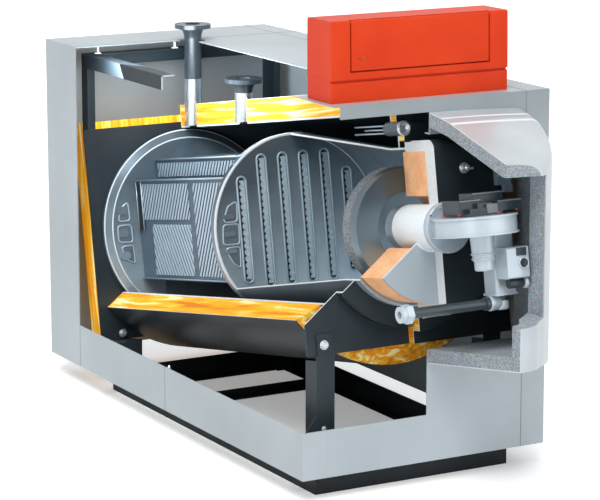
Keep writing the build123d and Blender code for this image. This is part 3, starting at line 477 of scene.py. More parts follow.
# %% Paint for the small pieces that this lesson adds
small_paints = {
    "edge_white": ((0.55, 0.61, 0.66), (0.68, 0.73, 0.77), 0.35, 0.0),
    "rib_blue": ((0.26, 0.35, 0.42), (0.42, 0.53, 0.60), 0.28, 0.3),
    "wave_blue": ((0.36, 0.47, 0.54), (0.52, 0.63, 0.70), 0.25, 0.2),
    "pocket_shade": ((0.10, 0.13, 0.16), (0.15, 0.19, 0.23), 0.4, 0.3),
    "seam_grey": ((0.16, 0.19, 0.20), (0.22, 0.25, 0.27), 0.6, 0.0),
    "painted_shade_black": ((0.006, 0.007, 0.009), (0.012, 0.014, 0.016), 0.6, 0.0),
    "lamp_red": ((0.45, 0.010, 0.006), (0.60, 0.016, 0.010), 0.25, 0.0),
    "lamp_green": ((0.02, 0.20, 0.03), (0.03, 0.30, 0.05), 0.25, 0.0),
}
for name, (dark, light, rough, metallic) in small_paints.items():
    looks[name] = paint(name, dark, light, rough, metallic=metallic)
print("small paints:", len(small_paints))

# %% [markdown]
# ## Rolled steel, and the silver hood
#
# Sheet steel keeps the grain of the rolls, so its noise is drawn out one way. The hood is
# painted, and its roof has two steps pressed across it. They could be cut into the mesh,
# but a step of a few millimetres seen from far off is only a line of light, so the finish
# raises the surface in its relief and paints a highlight on the crown of each step.

# %% Rolled steel
def rolled(name, dark, light, rough, grain, cut=True, metallic=1.0):
    """Rolled or brushed steel, with its grain drawn out one way."""
    f = Finish(name)
    lines = f.noise(grain, 5.0, 0.65, f.stretched((2.0, 2.0, 40.0)))
    broad = f.noise(3.0, 3.0, 0.5)
    tone = f.plus(f.times(lines, 0.5), f.times(broad, 0.5))
    colour = f.ramp(tone, (0.36, dark), (0.64, light))
    steel = metallic
    if cut:
        sawn = f.sawn()
        colour = f.mix(sawn, colour, WHITE_CUT)
        steel = f.times(f.minus(1.0, sawn), metallic)
    f.relief(lines, 0.06, 0.0008)
    roughness = f.spread(lines, rough - 0.06, rough + 0.10)
    return f.set(Base_Color=colour, Roughness=roughness, Metallic=steel).material


looks["flue_steel"] = rolled("flue_steel", (0.30, 0.33, 0.35), (0.44, 0.47, 0.49), 0.35, 6.0)
looks["zinc"] = rolled(
    "zinc", (0.55, 0.60, 0.65), (0.75, 0.79, 0.83), 0.25, 9.0, cut=False, metallic=0.6
)
print("rolled steels: flue and zinc")

# %% Silver paint on the hood
ROOF_STEPS = (-0.087, -0.155)
HOOD_STEP_HIGHLIGHT = (0.93, 0.95, 0.96)

f = Finish("hood_silver")
behind = f.minus(f.dot(f.place, REARWARD), FRONT / 1000)
roof = f.above(f.dot(f.facing, SKY), 0.35)
step = 0.0
step_highlight = 0.0
for edge in ROOF_STEPS:
    away = f.minus(behind, edge)
    step = f.plus(step, f.scaled(away, 60.0, 0.5, clamp=True))
    step_highlight = f.sum("MAXIMUM", step_highlight, f.minus(1.0, f.times(f.apart(away), 70.0), clamp=True))
f.relief(f.times(step, roof), 1.0, 0.006)
silver = f.ramp(f.noise(2.4, 3.0), (0.32, (0.43, 0.48, 0.51)), (0.68, (0.54, 0.59, 0.62)))
# Painted highlight: near-white colour on the crown of each roof step.
silver = f.mix(f.times(f.times(step_highlight, roof), 0.8), silver, HOOD_STEP_HIGHLIGHT)
looks["hood_silver"] = f.set(
    Base_Color=f.mix(f.sawn(), silver, WHITE_CUT),
    Roughness=f.spread(f.noise(60.0, 4.0, 0.6), 0.26, 0.36),
    Metallic=0.15,
).material
print("hood steps:", len(ROOF_STEPS))

# %% [markdown]
# ## Mineral wool
#
# The vessel is wrapped in yellow wool. Its fibres lie along the body on the sides and
# stand upright in the mat behind the rear plate. Hair strands would be true to it, but
# slow, and a cut mat shows streaks rather than hairs. So the streaks are a stretched
# noise, with a finer one laid over it, and the direction changes at the rear mat.

# %% Yellow wool
REAR_MAT = 2030

f = Finish("wool_yellow")
rear = f.above(f.dot(f.place, BACK), BACK.dot(on_body(0, REAR_MAT, 0)))
lying = f.noise(1.0, 4.0, 0.5, f.along_body(26.0, 2.0, 38.0), warp=0.9)
standing = f.noise(1.0, 4.0, 0.5, f.along_body(30.0, 34.0, 2.6), warp=0.9)
streaks = f.plus(f.times(lying, f.minus(1.0, rear)), f.times(standing, rear))
hair = f.noise(30.0, 5.0, 0.7, f.stretched((6.0, 0.8, 6.0)))
wool = f.ramp(
    f.plus(f.times(streaks, 0.88), f.times(hair, 0.12)),
    (0.36, (0.70, 0.20, 0.001)),
    (0.43, (0.88, 0.32, 0.003)),
    (0.50, (0.94, 0.42, 0.006)),
    (0.56, (0.96, 0.53, 0.035)),
    (0.63, (1.00, 0.86, 0.44)),
)
f.relief(f.plus(streaks, f.times(hair, 0.6)), 0.25, 0.003)
# Painted light: all the wool glows a little, and the rear mat, which lies in shade, glows more.
looks["wool_yellow"] = f.set(
    Base_Color=wool,
    Roughness=0.85,
    Emission_Color=wool,
    Emission_Strength=f.scaled(rear, 0.20, 0.02),
).material
print("wool, with the rear mat from", REAR_MAT, "mm along the axis")

# %% [markdown]
# ## Fibre, refractory and foam
#
# The burner door is lined with white fibre felt and cast in orange refractory, which is a
# gritty cement. The hood is lined with grey foam that deadens the noise of the fan. Grit
# is a fine noise over a broad one. Foam is a pattern of cells, where each cell is a pore.

# %% White fibre, orange refractory and grey foam
f = Finish("fibre_white")
felt = f.noise(90.0, 6.0, 0.75)
f.relief(felt, 0.35, 0.0015)
looks["fibre_white"] = f.set(
    Base_Color=f.ramp(felt, (0.3, (0.62, 0.63, 0.64)), (0.6, (0.76, 0.77, 0.77))),
    Roughness=0.9,
).material

f = Finish("refractory_orange")
grit = f.noise(160.0, 4.0, 0.8)
stone = f.noise(14.0, 5.0, 0.6)
f.relief(grit, 0.5, 0.0015)
looks["refractory_orange"] = f.set(
    Base_Color=f.ramp(
        f.plus(f.times(grit, 0.6), f.times(stone, 0.4)),
        (0.36, (0.68, 0.31, 0.14)),
        (0.50, (0.88, 0.45, 0.22)),
        (0.64, (0.95, 0.60, 0.36)),
    ),
    Roughness=0.85,
).material

f = Finish("foam_grey")
pores = f.cells(170.0).outputs["Distance"]
tint = f.cells(120.0).outputs["Color"]
grains = f.ramp(
    pores,
    (0.05, (0.09, 0.11, 0.13)),
    (0.40, (0.21, 0.25, 0.28)),
    (0.75, (0.34, 0.39, 0.43)),
)
f.relief(pores, 0.5, 0.003)
looks["foam_grey"] = f.set(Base_Color=f.mix(0.12, grains, tint), Roughness=0.9).material
print("linings: fibre, refractory, foam")

# %% [markdown]
# ## Steel on the fire side, with painted light and shade
#
# The chamber, the tube plates and the passages are one kind of steel, but they don't look
# alike. The plates get painted light and shade, from dark at the upper left to pale at the
# lower right. The passages get painted shade between their ribs and a painted highlight on
# the crowns of the ribs. The blast tube is nearly white, and the backing plate of the door
# is an even grey. One finish can tell them apart by the place, so the pieces keep one
# material slot, as the record says.

# %% Bright steel of the plates, the passages and the door
PASSAGES_FROM, PASSAGES_TO = 1.0421, 2.0012
PASSAGES_HALF = 0.2695
HALF_SPACING = 0.05
RIB_CROWN = 0.0155
DOOR_PLATE_TO = 0.1245
BLAST_TUBE_RADIUS = 0.095

f = Finish("bright_steel")
along, over, across = f.from_front(BACK), f.from_front(UP), f.dot(f.place, SIDE)
aside = f.apart(across)
soot = f.noise(7.0, 4.0, 0.55)
grain = f.noise(9.0, 4.0, 0.6, f.stretched((1.5, 1.5, 30.0)))
# Painted light and shade on the plates: darker upward and to the left, paler downward and to the
# right.
tone = f.scaled(f.scaled(over, -0.75, f.times(across, 0.35)), 1.6, 0.42)
tone = f.plus(tone, f.scaled(soot, 0.30, -0.15))
tone = f.plus(tone, f.scaled(grain, 0.10, -0.05))
plate = f.ramp(
    tone,
    (0.00, (0.085, 0.115, 0.140)),
    (0.42, (0.26, 0.33, 0.38)),
    (0.85, (0.56, 0.66, 0.73)),
)
# Painted shade inside each passage, and a painted highlight on the crowns of its ribs.
from_middle = f.minus(HALF_SPACING, f.sum("PINGPONG", aside, HALF_SPACING))
rib_shade_and_highlight = f.mix(f.above(from_middle, RIB_CROWN), (0.105, 0.155, 0.205), (0.50, 0.62, 0.72))
passages = f.times(f.above(along, PASSAGES_FROM), f.below(along, PASSAGES_TO))
passages = f.times(passages, f.below(aside, PASSAGES_HALF))
blast_tube = f.ramp(
    f.plus(f.times(soot, 0.6), f.times(grain, 0.4)),
    (0.3, (0.76, 0.82, 0.86)),
    (0.7, (0.86, 0.90, 0.93)),
)
backing = f.mix(f.above(f.radius(across, over), BLAST_TUBE_RADIUS), blast_tube, (0.36, 0.42, 0.46))
door = f.below(along, DOOR_PLATE_TO)
colour = f.mix(door, f.mix(passages, plate, rib_shade_and_highlight), backing)
sawn = f.sawn()
f.relief(grain, 0.03, 0.0006)
looks["bright_steel"] = f.set(
    Base_Color=f.mix(sawn, colour, WHITE_CUT),
    Roughness=f.spread(grain, 0.26, 0.40),
    Metallic=f.times(f.minus(1.0, f.sum("MAXIMUM", sawn, door)), 0.35),
).material
print("passages run", round(PASSAGES_TO - PASSAGES_FROM, 3), "m along the axis")

# %% [markdown]
# ## The flame ring and the pipes
#
# The flame ring is smooth steel inside and has a crust on its outer rim; on the smooth
# steel, painted shade darkens the top and painted light brightens the bottom. The two water
# pipes are black at the top and bare steel further down. Each of these could be two
# materials with a seam between them. A limit on the radius or on the height does the
# same with one.

# %% Grey ring and black pipes
RING_RIM = 0.2365
PIPE_BARE_BELOW = 1.351

f = Finish("ring_grey")
across, over = f.from_front(SIDE), f.from_front(UP)
rim = f.above(f.radius(across, over), RING_RIM)
crust = f.noise(120.0, 5.0, 0.7)
# Painted light and shade on the smooth steel: darker towards the top, lighter towards the bottom.
painted_light_fall = f.plus(f.scaled(over, -1.1, 0.5), f.scaled(f.noise(5.0, 3.0), 0.2, -0.1))
smooth_steel = f.ramp(
    painted_light_fall,
    (0.25, (0.075, 0.100, 0.120)),
    (0.55, (0.17, 0.22, 0.26)),
    (0.85, (0.44, 0.54, 0.60)),
)
rough_steel = f.ramp(crust, (0.35, (0.07, 0.08, 0.09)), (0.62, (0.30, 0.33, 0.35)))
f.relief(f.times(crust, f.plus(f.times(rim, 0.9), 0.1)), 0.6, 0.004)
looks["ring_grey"] = f.set(
    Base_Color=f.mix(rim, smooth_steel, rough_steel),
    Roughness=f.plus(f.times(rim, 0.4), 0.3),
    Metallic=f.minus(0.8, f.times(rim, 0.6)),
).material

f = Finish("pipe_black")
bare = f.below(f.dot(f.place, SKY), PIPE_BARE_BELOW)
grain = f.noise(30.0, 4.0, 0.6, f.stretched((1.0, 1.0, 0.1)))
black = f.ramp(grain, (0.3, (0.020, 0.028, 0.034)), (0.7, (0.040, 0.052, 0.062)))
steel = f.ramp(grain, (0.3, (0.52, 0.58, 0.66)), (0.7, (0.72, 0.77, 0.84)))
f.relief(f.noise(300.0, 2.0), 0.08, 0.0006)
looks["pipe_black"] = f.set(
    Base_Color=f.mix(bare, black, steel),
    Metallic=f.times(bare, 0.9),
    Roughness=f.spread(grain, 0.18, 0.34),
).material
print("finishes in all:", len(looks))

# %% [markdown]
# ## Dress the frame
#
# The record names a material slot for every CAD piece, so the looks can be handed out
# from the record itself. If a piece is added to the CAD, it is dressed without a change.

# %% Hand out the finishes by slot
for row in frame["record"]["subparts"]:
    node = frame["nodes"].get(row["node"])
    node.data.materials.clear()
    node.data.materials.append(looks[row["material_slot"]])
    for polygon in node.data.polygons:
        polygon.material_index = 0

# %% [markdown]
# ## Slots in the front tube plate
#
# The hot gas leaves the fire chamber at its rear end and enters the flat passages through
# upright slots in the front tube plate. Each passage is pressed from sheet, and its ribs
# show in the slot as a row of small waves. The edge of a slot is welded, which leaves a
# round bead.
#
# A bead could be a boolean on the plate, but a rod bent round the outline gives the same
# light on its crown and leaves the plate as the CAD has it.

# %% Outlines of slots and pockets
SLOTS = [(-250, -206, 226), (-150, -232, 310), (-50, -232, 310)]
SLOTS += [(50, -232, 310), (150, -232, 310), (250, -206, 226)]
PLATE_FACE = 1030.0
REAR_FACE = 2005.7


def rounded(points, radius, steps=6):
    """Outline of (u, v) with its corners rounded."""
    result = []
    count = len(points)
    for k, corner in enumerate(points):
        p = Vector(corner)
        to_last = Vector(points[k - 1]) - p
        to_next = Vector(points[(k + 1) % count]) - p
        half = to_last.normalized().angle(to_next.normalized()) / 2
        reach = min(radius / math.tan(half), 0.45 * to_last.length, 0.45 * to_next.length)
        start = p + to_last.normalized() * reach
        end = p + to_next.normalized() * reach
        for s in range(steps + 1):
            t = s / steps
            q = start * (1 - t) ** 2 + p * 2 * t * (1 - t) + end * t * t
            result.append((q.x, q.y))
    return result


def stadium(x, low, high, half, steps=10):
    """Outline of an upright slot with round ends."""
    result = []
    for middle, first in ((high - half, 0.0), (low + half, math.pi)):
        for s in range(steps + 1):
            turn = first + math.pi * s / steps
            result.append((x + half * math.cos(turn), middle + half * math.sin(turn)))
    return result


def bead(kit, outline, along, radius):
    """Rod along a closed outline that is drawn square to the body axis."""
    path = [on_body(u, along, v) for u, v in outline]
    kit.loop(path, radius, BACK)


print("slots:", len(SLOTS), "in a plate", PLATE_FACE, "mm along the axis")

# %% Weld beads round the slots, the waves inside them, and painted shade beside the waves
SLOT_HALF = 21
WAVE_MARGIN = 12
WAVE_LENGTH = 27.0
WAVE_HEIGHT = 9
WAVE_STEP = 3

kit = Kit()
for x, bottom, top in SLOTS:
    bead(kit, stadium(x, bottom - 3, top + 3, SLOT_HALF), PLATE_FACE - 1, 4.6)
kit.make("slot_beads", looks["rib_blue"], slot="bright_steel")

kit = Kit()
for x, bottom, top in SLOTS:
    first, last = bottom + WAVE_MARGIN, top - WAVE_MARGIN
    wavy = []
    steps = int((last - first) / WAVE_STEP)
    for k in range(steps + 1):
        v = first + (last - first) * k / steps
        wave = abs(math.sin(math.pi * (v - bottom) / WAVE_LENGTH)) ** 0.6
        wavy.append((x + 2 - WAVE_HEIGHT * wave, v))
    outline = [(x + 17.2, first), (x + 17.2, last)] + wavy[::-1]
    kit.slab(on_body(0, PLATE_FACE + 11, 0), SIDE, UP, outline, 8)
kit.make("passage_waves", looks["wave_blue"], slot="bright_steel", soften=1.2)

# Painted shade: a thin black sheet in each slot, seen in the gap beside the waves.
kit = Kit()
for x, bottom, top in SLOTS:
    middle = on_body(x - 4, PLATE_FACE + 10.8, (top + bottom) / 2)
    kit.box(middle, SIDE, UP, 26, top - bottom - 16, 1.6)
kit.make("slot_painted_shade", looks["painted_shade_black"], slot="bright_steel")
print("slots dressed:", len(SLOTS))

# %% [markdown]
# ## Pockets and rims of the plates
#
# Both tube plates have pressed pockets at their sides, which make a thin plate stiff
# against the water pressure. A pocket is given a bead for its edge and a thin dark sheet
# of painted shade for its hollow. It could be sunk into the plate, but from the open side
# it only reads as a darker field with a bright edge. One half is written down, and the
# other half is its mirror image.

# %% Pockets beside the slots with painted shade in them, and painted highlights on the rims of both plates
front_pockets = [
    [(-350, 48), (-284, 48), (-277, 134), (-322, 112)],
    [(-357, -42), (-281, -46), (-277, 38), (-349, 40)],
    [(-351, -56), (-279, -56), (-285, -145), (-314, -124)],
]
rear_pockets = [
    [(-368, 52), (-309, 53), (-314, 138), (-350, 108)],
    [(-372, -38), (-303, -44), (-306, 34), (-372, 35)],
    [(-366, -57), (-303, -58), (-301, -140), (-336, -120)],
]
kit = Kit()
# The dark sheet in each pocket is painted shade.
shade_kit = Kit()
for along, group in ((PLATE_FACE, front_pockets), (REAR_FACE, rear_pockets)):
    for side in (1, -1):
        for outline in group:
            soft = rounded([(side * u, v) for u, v in outline], 16)
            bead(kit, soft, along - 1, 3.8)
            facing_out = soft if side > 0 else soft[::-1]
            shade_kit.slab(on_body(0, along - 0.2, 0), SIDE, UP, facing_out, 1.2)
kit.make("pocket_beads", looks["rib_blue"], slot="bright_steel")
shade_kit.make("pocket_painted_shade", looks["pocket_shade"], slot="bright_steel")

# Painted highlight: pale rods round the rims of both plates.
kit = Kit()
kit.ring(PLATE_FACE + 3, 385.5, 6.5)
kit.ring(REAR_FACE + 1, 396.0, 3.2)
kit.ring(REAR_FACE + 12, 430.0, 3.6)
kit.make("plate_rim_highlights", looks["edge_white"], slot="bright_steel")
print("pockets:", 2 * (len(front_pockets) + len(rear_pockets)))

# %% [markdown]
# ## Outlet and seams of the passages
#
# The outer passage has an upright opening near its rear end, and the passages are welded
# along their long edges. A hole in a pressed sheet would need a new mesh for the passage,
# so the opening is a black strip of painted shade between two rods, and each weld that
# shows is a rod.

# %% Outlet and welded edges of the passages
OUTLET = 1972
OUTLET_HALF = 24
OUTER_SKIN = -269.6
SEAM_FROM, SEAM_TO = 1062, 1998

kit = Kit()
kit.box(on_body(OUTER_SKIN + 0.4, OUTLET, 112), BACK, UP, 42, 212, 2.2)
kit.make("passage_outlet_shade", looks["painted_shade_black"], slot="bright_steel")

kit = Kit()
for along in (OUTLET - OUTLET_HALF, OUTLET + OUTLET_HALF):
    kit.tube([on_body(OUTER_SKIN, along, 2), on_body(OUTER_SKIN, along, 222)], 3.0)
for x, over, last in ((OUTER_SKIN, 226, SEAM_TO), (OUTER_SKIN, -206, SEAM_TO), (-169.0, 309, 1990)):
    kit.tube([on_body(x, SEAM_FROM, over), on_body(x, last, over)], 4.0)
kit.make("passage_seams", looks["rib_blue"], slot="bright_steel")
print("outlet at", OUTLET, "mm along the axis")

# %% [markdown]
# ## What is bolted to the dark pieces
#
# The vessel stands on four legs and is bolted to them through a tab at each leg. A bolt
# head is a turned shape with six steps. Screws with threads would be lost at this size,
# so only heads and washers are made.

# %% Bolts at the legs, rings on the front plate
kit = Kit()
for side in (-1, 1):
    kit.bolt(on_body(side * 384, 203, -416), -BACK, 25, 13)
    kit.bolt(on_body(side * 379, 2033, -440), -BACK, 25, 13)
    kit.bolt(at(side * 388, 122.5, 251), AHEAD, 14, 8)
kit.make("leg_bolts", looks["zinc"], slot="frame_black")

kit = Kit()
for along, radius in ((163.5, 384.0), (211.0, 388.0)):
    kit.ring(along, radius, 2.6, first=0.602, last=0.748)
kit.make("front_plate_rings", looks["frame_black"], slot="body_dark_steel")

kit = Kit()
kit.turned(at(-546, 1135, 283), SKY, [(7, 0), (7, 7), (4, 9), (4, 13), (0.1, 14)], 20)
kit.make("band_screw", looks["zinc"], slot="casing_silver")
print("bolts placed")

# %% [markdown]
# ## Door fittings and probes
#
# On the burner door there is a knob for the sight glass and a bracket for the hinge pin.
# Inside the vessel a pocket holds the temperature probes: thin rods that reach into the
# water. Knob, rods and collar are all round, so each one is a line turned about an axis.

# %% Door knob, hinge bracket and the probes in the water
kit = Kit()
knob = [(21, -1), (21, 4), (18, 6), (11, 8), (9, 15), (13, 20), (12, 28), (5, 33), (0.1, 34)]
kit.turned(on_body(126, -87, 216), -BACK, knob, 40)
kit.box(on_body(146, -92, 212), SIDE, UP, 34, 10, 12)
kit.make("sight_glass_knob", looks["zinc"], slot="body_dark_steel", soften=1.0)

kit = Kit()
kit.box(on_body(288, -98, 166), SIDE, UP, 66, 58, 22)
kit.box(on_body(306, -100, 122), SIDE, UP, 40, 30, 18)
kit.turned(on_body(268, -109, 172), -BACK, [(9, 0), (9, 3), (6, 5), (0.1, 5)], 24)
kit.make("hinge_bracket", looks["rib_blue"], slot="body_dark_steel", soften=2.5)

kit = Kit()
for over, first, last in ((395, 232, 508), (380, 233, 432), (366, 234, 512)):
    reach = last - first
    kit.turned(on_body(7, first, over), BACK, [(3.4, 0), (3.4, reach - 3), (0.1, reach)], 14)
kit.make("probe_rods", looks["rib_blue"], slot="bright_steel")

kit = Kit()
collar = [(27, -6), (30, -2), (30, 6), (24, 10), (19, 8), (19, 2), (0.1, 2)]
kit.turned(on_body(0, 123, 382), -BACK, collar, 48)
kit.make("probe_pocket_collar", looks["zinc"], slot="bright_steel")
print("door and probe pieces placed")

# %% [markdown]
# ## The top of the burner
#
# A fan burner is a light metal casting. The control gear sits on its lid in black boxes,
# and the motor hangs below with two bands round it. The screws of the lid are red here.
# The boxes are plain blocks with softened edges, because the real ones are moulded.

# %% Boxes on the lid, lid screws and bands of the motor
kit = Kit()
kit.box(on_body(-53, -330, 81), SIDE, BACK, 90, 120, -52)
kit.box(on_body(44, -318, 108), SIDE, BACK, 136, 92, -40)
kit.box(on_body(107, -348, 75), SIDE, BACK, 104, 128, -40)
kit.make("control_gear", looks["box_black"], slot="box_black", soften=2.5)

kit = Kit()
kit.box(on_body(26, -416, 70), SIDE, BACK, 46, 10, -34)
for x, along, over, width in ((-53, -392, 104, 90), (44, -366, 126, 136), (107, -413, 93, 104)):
    kit.box(on_body(x, along, over), SIDE, BACK, width, 6, -5)
kit.make("control_gear_edges", looks["seam_grey"], slot="box_black", soften=1.0)

LID_SCREWS = [(-152, -362), (-126, -428), (6, -488), (118, -440)]
LID_SCREWS += [(152, -366), (130, -236), (-130, -236)]
kit = Kit()
for x, along in LID_SCREWS:
    kit.turned(on_body(x, along, 54), UP, [(5.5, 0), (5.5, 4), (4, 5.5), (0.1, 5.5)], 20)
kit.make("lid_screws", looks["lamp_red"], slot="burner_silver")

FLANGE_BOLTS = 8
BOLT_CIRCLE = 85
kit = Kit()
for over, inner in ((-100, 44.5), (-118, 42.5)):
    band = [(inner, 0), (inner + 3, 1.5), (inner + 3, 5), (inner, 6.5)]
    kit.turned(on_body(0, -372, over), UP, band, 48, caps=False)
for k in range(FLANGE_BOLTS):
    turn = math.radians(22.5 + 45 * k)
    place = on_body(BOLT_CIRCLE * math.cos(turn), -151.5, BOLT_CIRCLE * math.sin(turn))
    kit.bolt(place, -BACK, 9, 5, washer=False)
kit.make("motor_bands", looks["burner_silver"], slot="burner_silver")
print("lid screws:", len(LID_SCREWS), "flange bolts:", FLANGE_BOLTS)

# %% [markdown]
# ## The gas train
#
# The gas comes in a pipe from the left, which ends in a union nut, and passes a block with
# a valve on it. Collars, caps and nuts are turned shapes again. An open end is drawn as a
# line that turns back inwards, so that the rim has a wall and the hole has a bottom.

# %% Valve, gas fittings and the thin rod under the pipe
kit = Kit()
kit.box(on_body(128, -433, -100), SIDE, UP, 44, 30, 3)
kit.turned(on_body(136, -431, -143), -BACK, [(21, 0), (21, 3), (14, 4), (14, 2), (0.1, 2)], 32)
kit.make("valve_openings", looks["box_black"], slot="box_black", soften=1.0)

kit = Kit()
rim = [(17, 0), (23, 0), (23, 4), (21, 6), (17, 4)]
kit.turned(on_body(136, -431.5, -143), -BACK, rim, 40, caps=False)
mouth = [(10, 0), (21, 3), (24, 8), (24, 16), (17, 19), (17, 17), (0.1, 17)]
kit.turned(on_body(148, -395, -218), SIDE, mouth, 40)
kit.box(on_body(140, -350, -218), SIDE, UP, 30, 30, 60)
kit.turned(on_body(107, -305, -317), -UP, [(27, -34), (27, -6), (22, 1), (0.1, 1)], 40)
union = [(23, -4), (29, 0), (29, 16), (27, 18), (27, 40), (23, 46)]
kit.turned(on_body(50, -305, -290), SIDE, union, 40, caps=False)
kit.make("gas_fittings", looks["burner_silver"], slot="burner_silver", soften=0.8)

kit = Kit()
kit.turned(on_body(96, -395, -218), SIDE, [(18, -12), (18, 50)], 40)
kit.make("valve_cylinder", looks["box_black"], slot="box_black", soften=1.0)

kit = Kit()
rod = [(0.1, -6), (4, -4), (5.5, 0), (4, 4), (4, 120), (0.1, 121)]
kit.turned(on_body(-212, -262, -312), SIDE, rod, 20)
kit.make("pipe_rod", looks["zinc"], slot="gas_pipe_black")
print("gas train dressed")

# %% [markdown]
# ## Casing seams and sawn folds
#
# The sheets of the casing meet edge to edge, so each seam is a thin dark line. A gap in
# the CAD would do it too, but a strip under a millimetre thick reads the same and leaves
# the panels whole. Where the slice goes through a stiffening fold, its sawn end is white.

# %% Seams of the casing, and the white ends of folds and rail
SEAM = 2.2
SEAM_DEPTH = 0.8
PANEL = 1424
PANEL_MIDDLE = CASING_FOOT + PANEL / 2
LEFT_FACE = -550.2
TOP_FACE = 1520.2
FOLD_PLACE = 318

seams = [
    (at(440, -0.2, PANEL_MIDDLE), SIDE, SKY, SEAM, PANEL),
    (at(LEFT_FACE, 1169, CASING_FOOT + 94), REARWARD, SKY, SEAM, 187),
    (at(LEFT_FACE, 2008, PANEL_MIDDLE), REARWARD, SKY, SEAM, PANEL),
    (at(0, 2010, TOP_FACE), SIDE, REARWARD, 1096, SEAM),
    (at(440, 1160, TOP_FACE), SIDE, REARWARD, SEAM, 2310),
]
kit = Kit()
for centre, u, v, width, height in seams:
    kit.box(centre, u, v, width, height, SEAM_DEPTH)
kit.make("casing_seams", looks["seam_grey"], slot="casing_silver")

kit = Kit()
for x in (-456, -85):
    kit.box(at(x, 1978, 1504), SIDE, SKY, 4, 26, 12)
    kit.box(at(x, 1978, 1491), SIDE, SKY, 26, 4, 12)
kit.box(at(-300, FOLD_PLACE, 1507), SIDE, SKY, 5, 24, 70)
kit.box(at(-318, FOLD_PLACE, 1496), SIDE, SKY, 40, 4, 70)
kit.make("fold_ends", looks["edge_white"], slot="casing_silver")

kit = Kit()
kit.box(at(-450, 1312.2, 1475.0), SIDE, SKY, 60.4, 6.4, 1.6)
kit.box(at(-477, 1312.2, 1448.0), SIDE, SKY, 6.4, 60.4, 1.6)
kit.make("rail_end", looks["edge_white"], slot="frame_black")
print("seams:", len(seams))

# %% [markdown]
# ## Lamps of the control unit
#
# Two small lamps sit at the lower left of the flap. They have to swing with it, so they
# ride on the body of the flap, and each one is a piece of its own.

# %% Lamps on the flap
for name, x in (("lamp_red", -270), ("lamp_green", -253)):
    kit = Kit()
    kit.turned(at(x, 64.6, 1684), AHEAD, [(4.2, -2), (4.2, 1), (2.6, 2.4), (0.1, 2.8)], 20)
    kit.make(name, looks[name], body="flap", slot="control_red")
print("lamps ride on the flap")

# %% [markdown]
# ## Floor and sky
#
# A picture for a catalogue has a plain pale ground. The floor keeps the shadow, which
# tells that the machine stands on it, and glows a little towards the camera alone. The
# sky is white to the camera and in the steel, and a dim gradient to all else, so that it
# fills the shade and doesn't wash out the colours.

# %% Floor
FLOOR_CORNER = Vector((-60, -40, 0.0))
FLOOR_WIDE, FLOOR_DEEP = 120000, 140000

kit = Kit()
floor_outline = [(0, 0), (FLOOR_WIDE, 0), (FLOOR_WIDE, FLOOR_DEEP), (0, FLOOR_DEEP)]
kit.slab(FLOOR_CORNER, SIDE, REARWARD, floor_outline, -20)
f = Finish("floor_paint")
f.relief(f.noise(80.0, 3.0), 0.03, 0.001)
to_camera = f.node("ShaderNodeLightPath").outputs["Is Camera Ray"]
cloud = f.noise(0.8, 4.0, 0.5)
f.set(
    Base_Color=f.ramp(cloud, (0.3, (0.93, 0.935, 0.94)), (0.7, (0.95, 0.95, 0.955))),
    Roughness=0.8,
    Emission_Color=(1.0, 1.0, 1.0),
    Emission_Strength=f.times(to_camera, 0.30),
)
mesh = bpy.data.meshes.new("floor")
mesh.from_pydata([tuple(p) for p in kit.points], [], kit.faces)
floor = bpy.data.objects.new("floor", mesh)
bpy.context.scene.collection.objects.link(floor)
mesh.materials.append(f.material)
print("floor", FLOOR_WIDE / 1000, "by", FLOOR_DEEP / 1000, "m")

# %% Sky
SKY_LEVEL = 0.75
LOW_SKY, HIGH_SKY = (0.30, 0.34, 0.38, 1), (1.0, 1.0, 1.0, 1)

world = bpy.data.worlds.new("studio")
bpy.context.scene.world = world
world.use_nodes = True
sky = world.node_tree
sky.nodes.clear()
join = sky.links.new
spot = sky.nodes.new("ShaderNodeTexCoord")
split = sky.nodes.new("ShaderNodeSeparateXYZ")
join(spot.outputs["Generated"], split.inputs[0])
shade = sky.nodes.new("ShaderNodeValToRGB")
for element, place, colour in zip(shade.color_ramp.elements, (0.0, 0.9), (LOW_SKY, HIGH_SKY)):
    element.position = place
    element.color = colour
join(split.outputs["Z"], shade.inputs[0])
dim = sky.nodes.new("ShaderNodeBackground")
dim.inputs["Strength"].default_value = SKY_LEVEL
join(shade.outputs[0], dim.inputs["Color"])
plain = sky.nodes.new("ShaderNodeBackground")
plain.inputs["Color"].default_value = (1, 1, 1, 1)
plain.inputs["Strength"].default_value = 1.0
ray = sky.nodes.new("ShaderNodeLightPath")
seen = ray.outputs["Is Camera Ray"]
for kind in ("Is Glossy Ray", "Is Transmission Ray"):
    either = sky.nodes.new("ShaderNodeMath")
    either.operation = "MAXIMUM"
    join(seen, either.inputs[0])
    join(ray.outputs[kind], either.inputs[1])
    seen = either.outputs[0]
pick = sky.nodes.new("ShaderNodeMixShader")
for socket, output in zip(pick.inputs, (seen, dim.outputs[0], plain.outputs[0])):
    join(output, socket)
join(pick.outputs[0], sky.nodes.new("ShaderNodeOutputWorld").inputs["Surface"])
print("sky at", SKY_LEVEL)

# %% [markdown]
# ## Lamps of the studio
#
# The key light is broad and comes from the upper left, so that the sloping body catches
# it through the open side. A weak fill comes from the right of the front. Stronger suns
# would wash out the paint, so three small softboxes light what lies deep: the opened
# body, the burner, and the room over the rear of the body.

# %% Sun lamps and softboxes
def hang(name, lamp, towards):
    """Hangs a lamp so that it shines along a direction."""
    lamp_object = bpy.data.objects.new(name, lamp)
    lamp_object.rotation_mode = "QUATERNION"
    lamp_object.rotation_quaternion = Vector(towards).normalized().to_track_quat("-Z", "Y")
    bpy.context.scene.collection.objects.link(lamp_object)
    return lamp_object


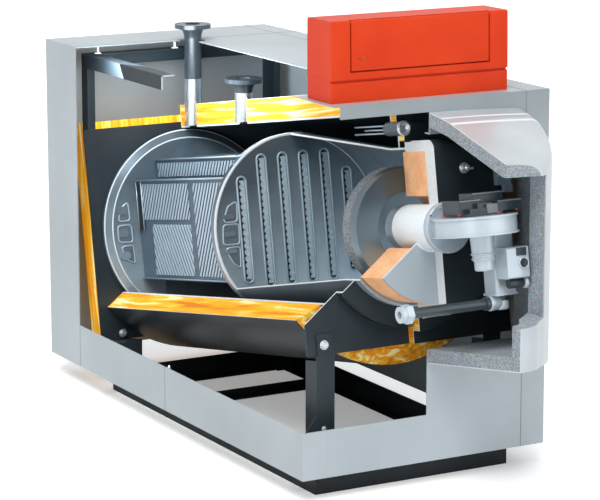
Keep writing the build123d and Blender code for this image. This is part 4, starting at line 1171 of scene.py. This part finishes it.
def sun(name, towards, strength, angle, colour):
    """Light from far away that shines along a direction."""
    lamp = bpy.data.lights.new(name, "SUN")
    lamp.energy = strength
    lamp.angle = math.radians(angle)
    lamp.color = colour
    hang(name, lamp, towards)


def softbox(name, place, aim, width, height, power, colour):
    """Broad lamp on a stand, aimed at a point."""
    lamp = bpy.data.lights.new(name, "AREA")
    lamp.shape = "RECTANGLE"
    lamp.size = width
    lamp.size_y = height
    lamp.energy = power
    lamp.color = colour
    lamp_object = hang(name, lamp, Vector(aim) - Vector(place))
    lamp_object.location = place
    lamp_object.visible_camera = False


sun("key", (0.40, 0.50, -0.92), 2.0, 30, (1.0, 0.99, 0.97))
sun("fill", (-0.5, 0.80, -0.35), 0.45, 50, (0.92, 0.96, 1.0))
softbox("inside", (-1.3, 0.15, 1.95), (0.45, 0.85, 1.15), 1.0, 0.7, 4.0, (0.96, 0.98, 1.0))
softbox("burner_side", (-1.6, -2.6, 1.7), (0.05, -1.0, 0.95), 1.1, 0.9, 6.0, (0.95, 0.98, 1.0))
softbox("rear_room", (-0.38, 0.62, 1.50), (0.55, 1.05, 1.22), 0.7, 0.2, 12.0, (0.82, 0.92, 1.0))
print("lamps:", len(bpy.data.lights))

# %% [markdown]
# ## Camera
#
# The camera has a long lens and stands far off, so that upright lines stay close to
# upright, as they do on drawings of machines. Its turn and its dip are written as two
# angles, and the direction is worked out from them.

# %% Camera
YAW, PITCH = math.radians(29.294), math.radians(11.925)

cam = bpy.data.cameras.new("camera")
cam.sensor_width = 36
cam.lens = 160.29
cam.clip_end = 200
eye = bpy.data.objects.new("camera", cam)
bpy.context.scene.collection.objects.link(eye)
eye.location = (-5.3188, -9.3684, 3.0478)
look = Vector((math.sin(YAW) * math.cos(PITCH), math.cos(YAW) * math.cos(PITCH), -math.sin(PITCH)))
eye.rotation_mode = "QUATERNION"
eye.rotation_quaternion = look.to_track_quat("-Z", "Y")
bpy.context.scene.camera = eye
bpy.context.scene.view_settings.view_transform = "Standard"
print("camera", [round(v, 3) for v in eye.location], "lens", round(cam.lens, 2))
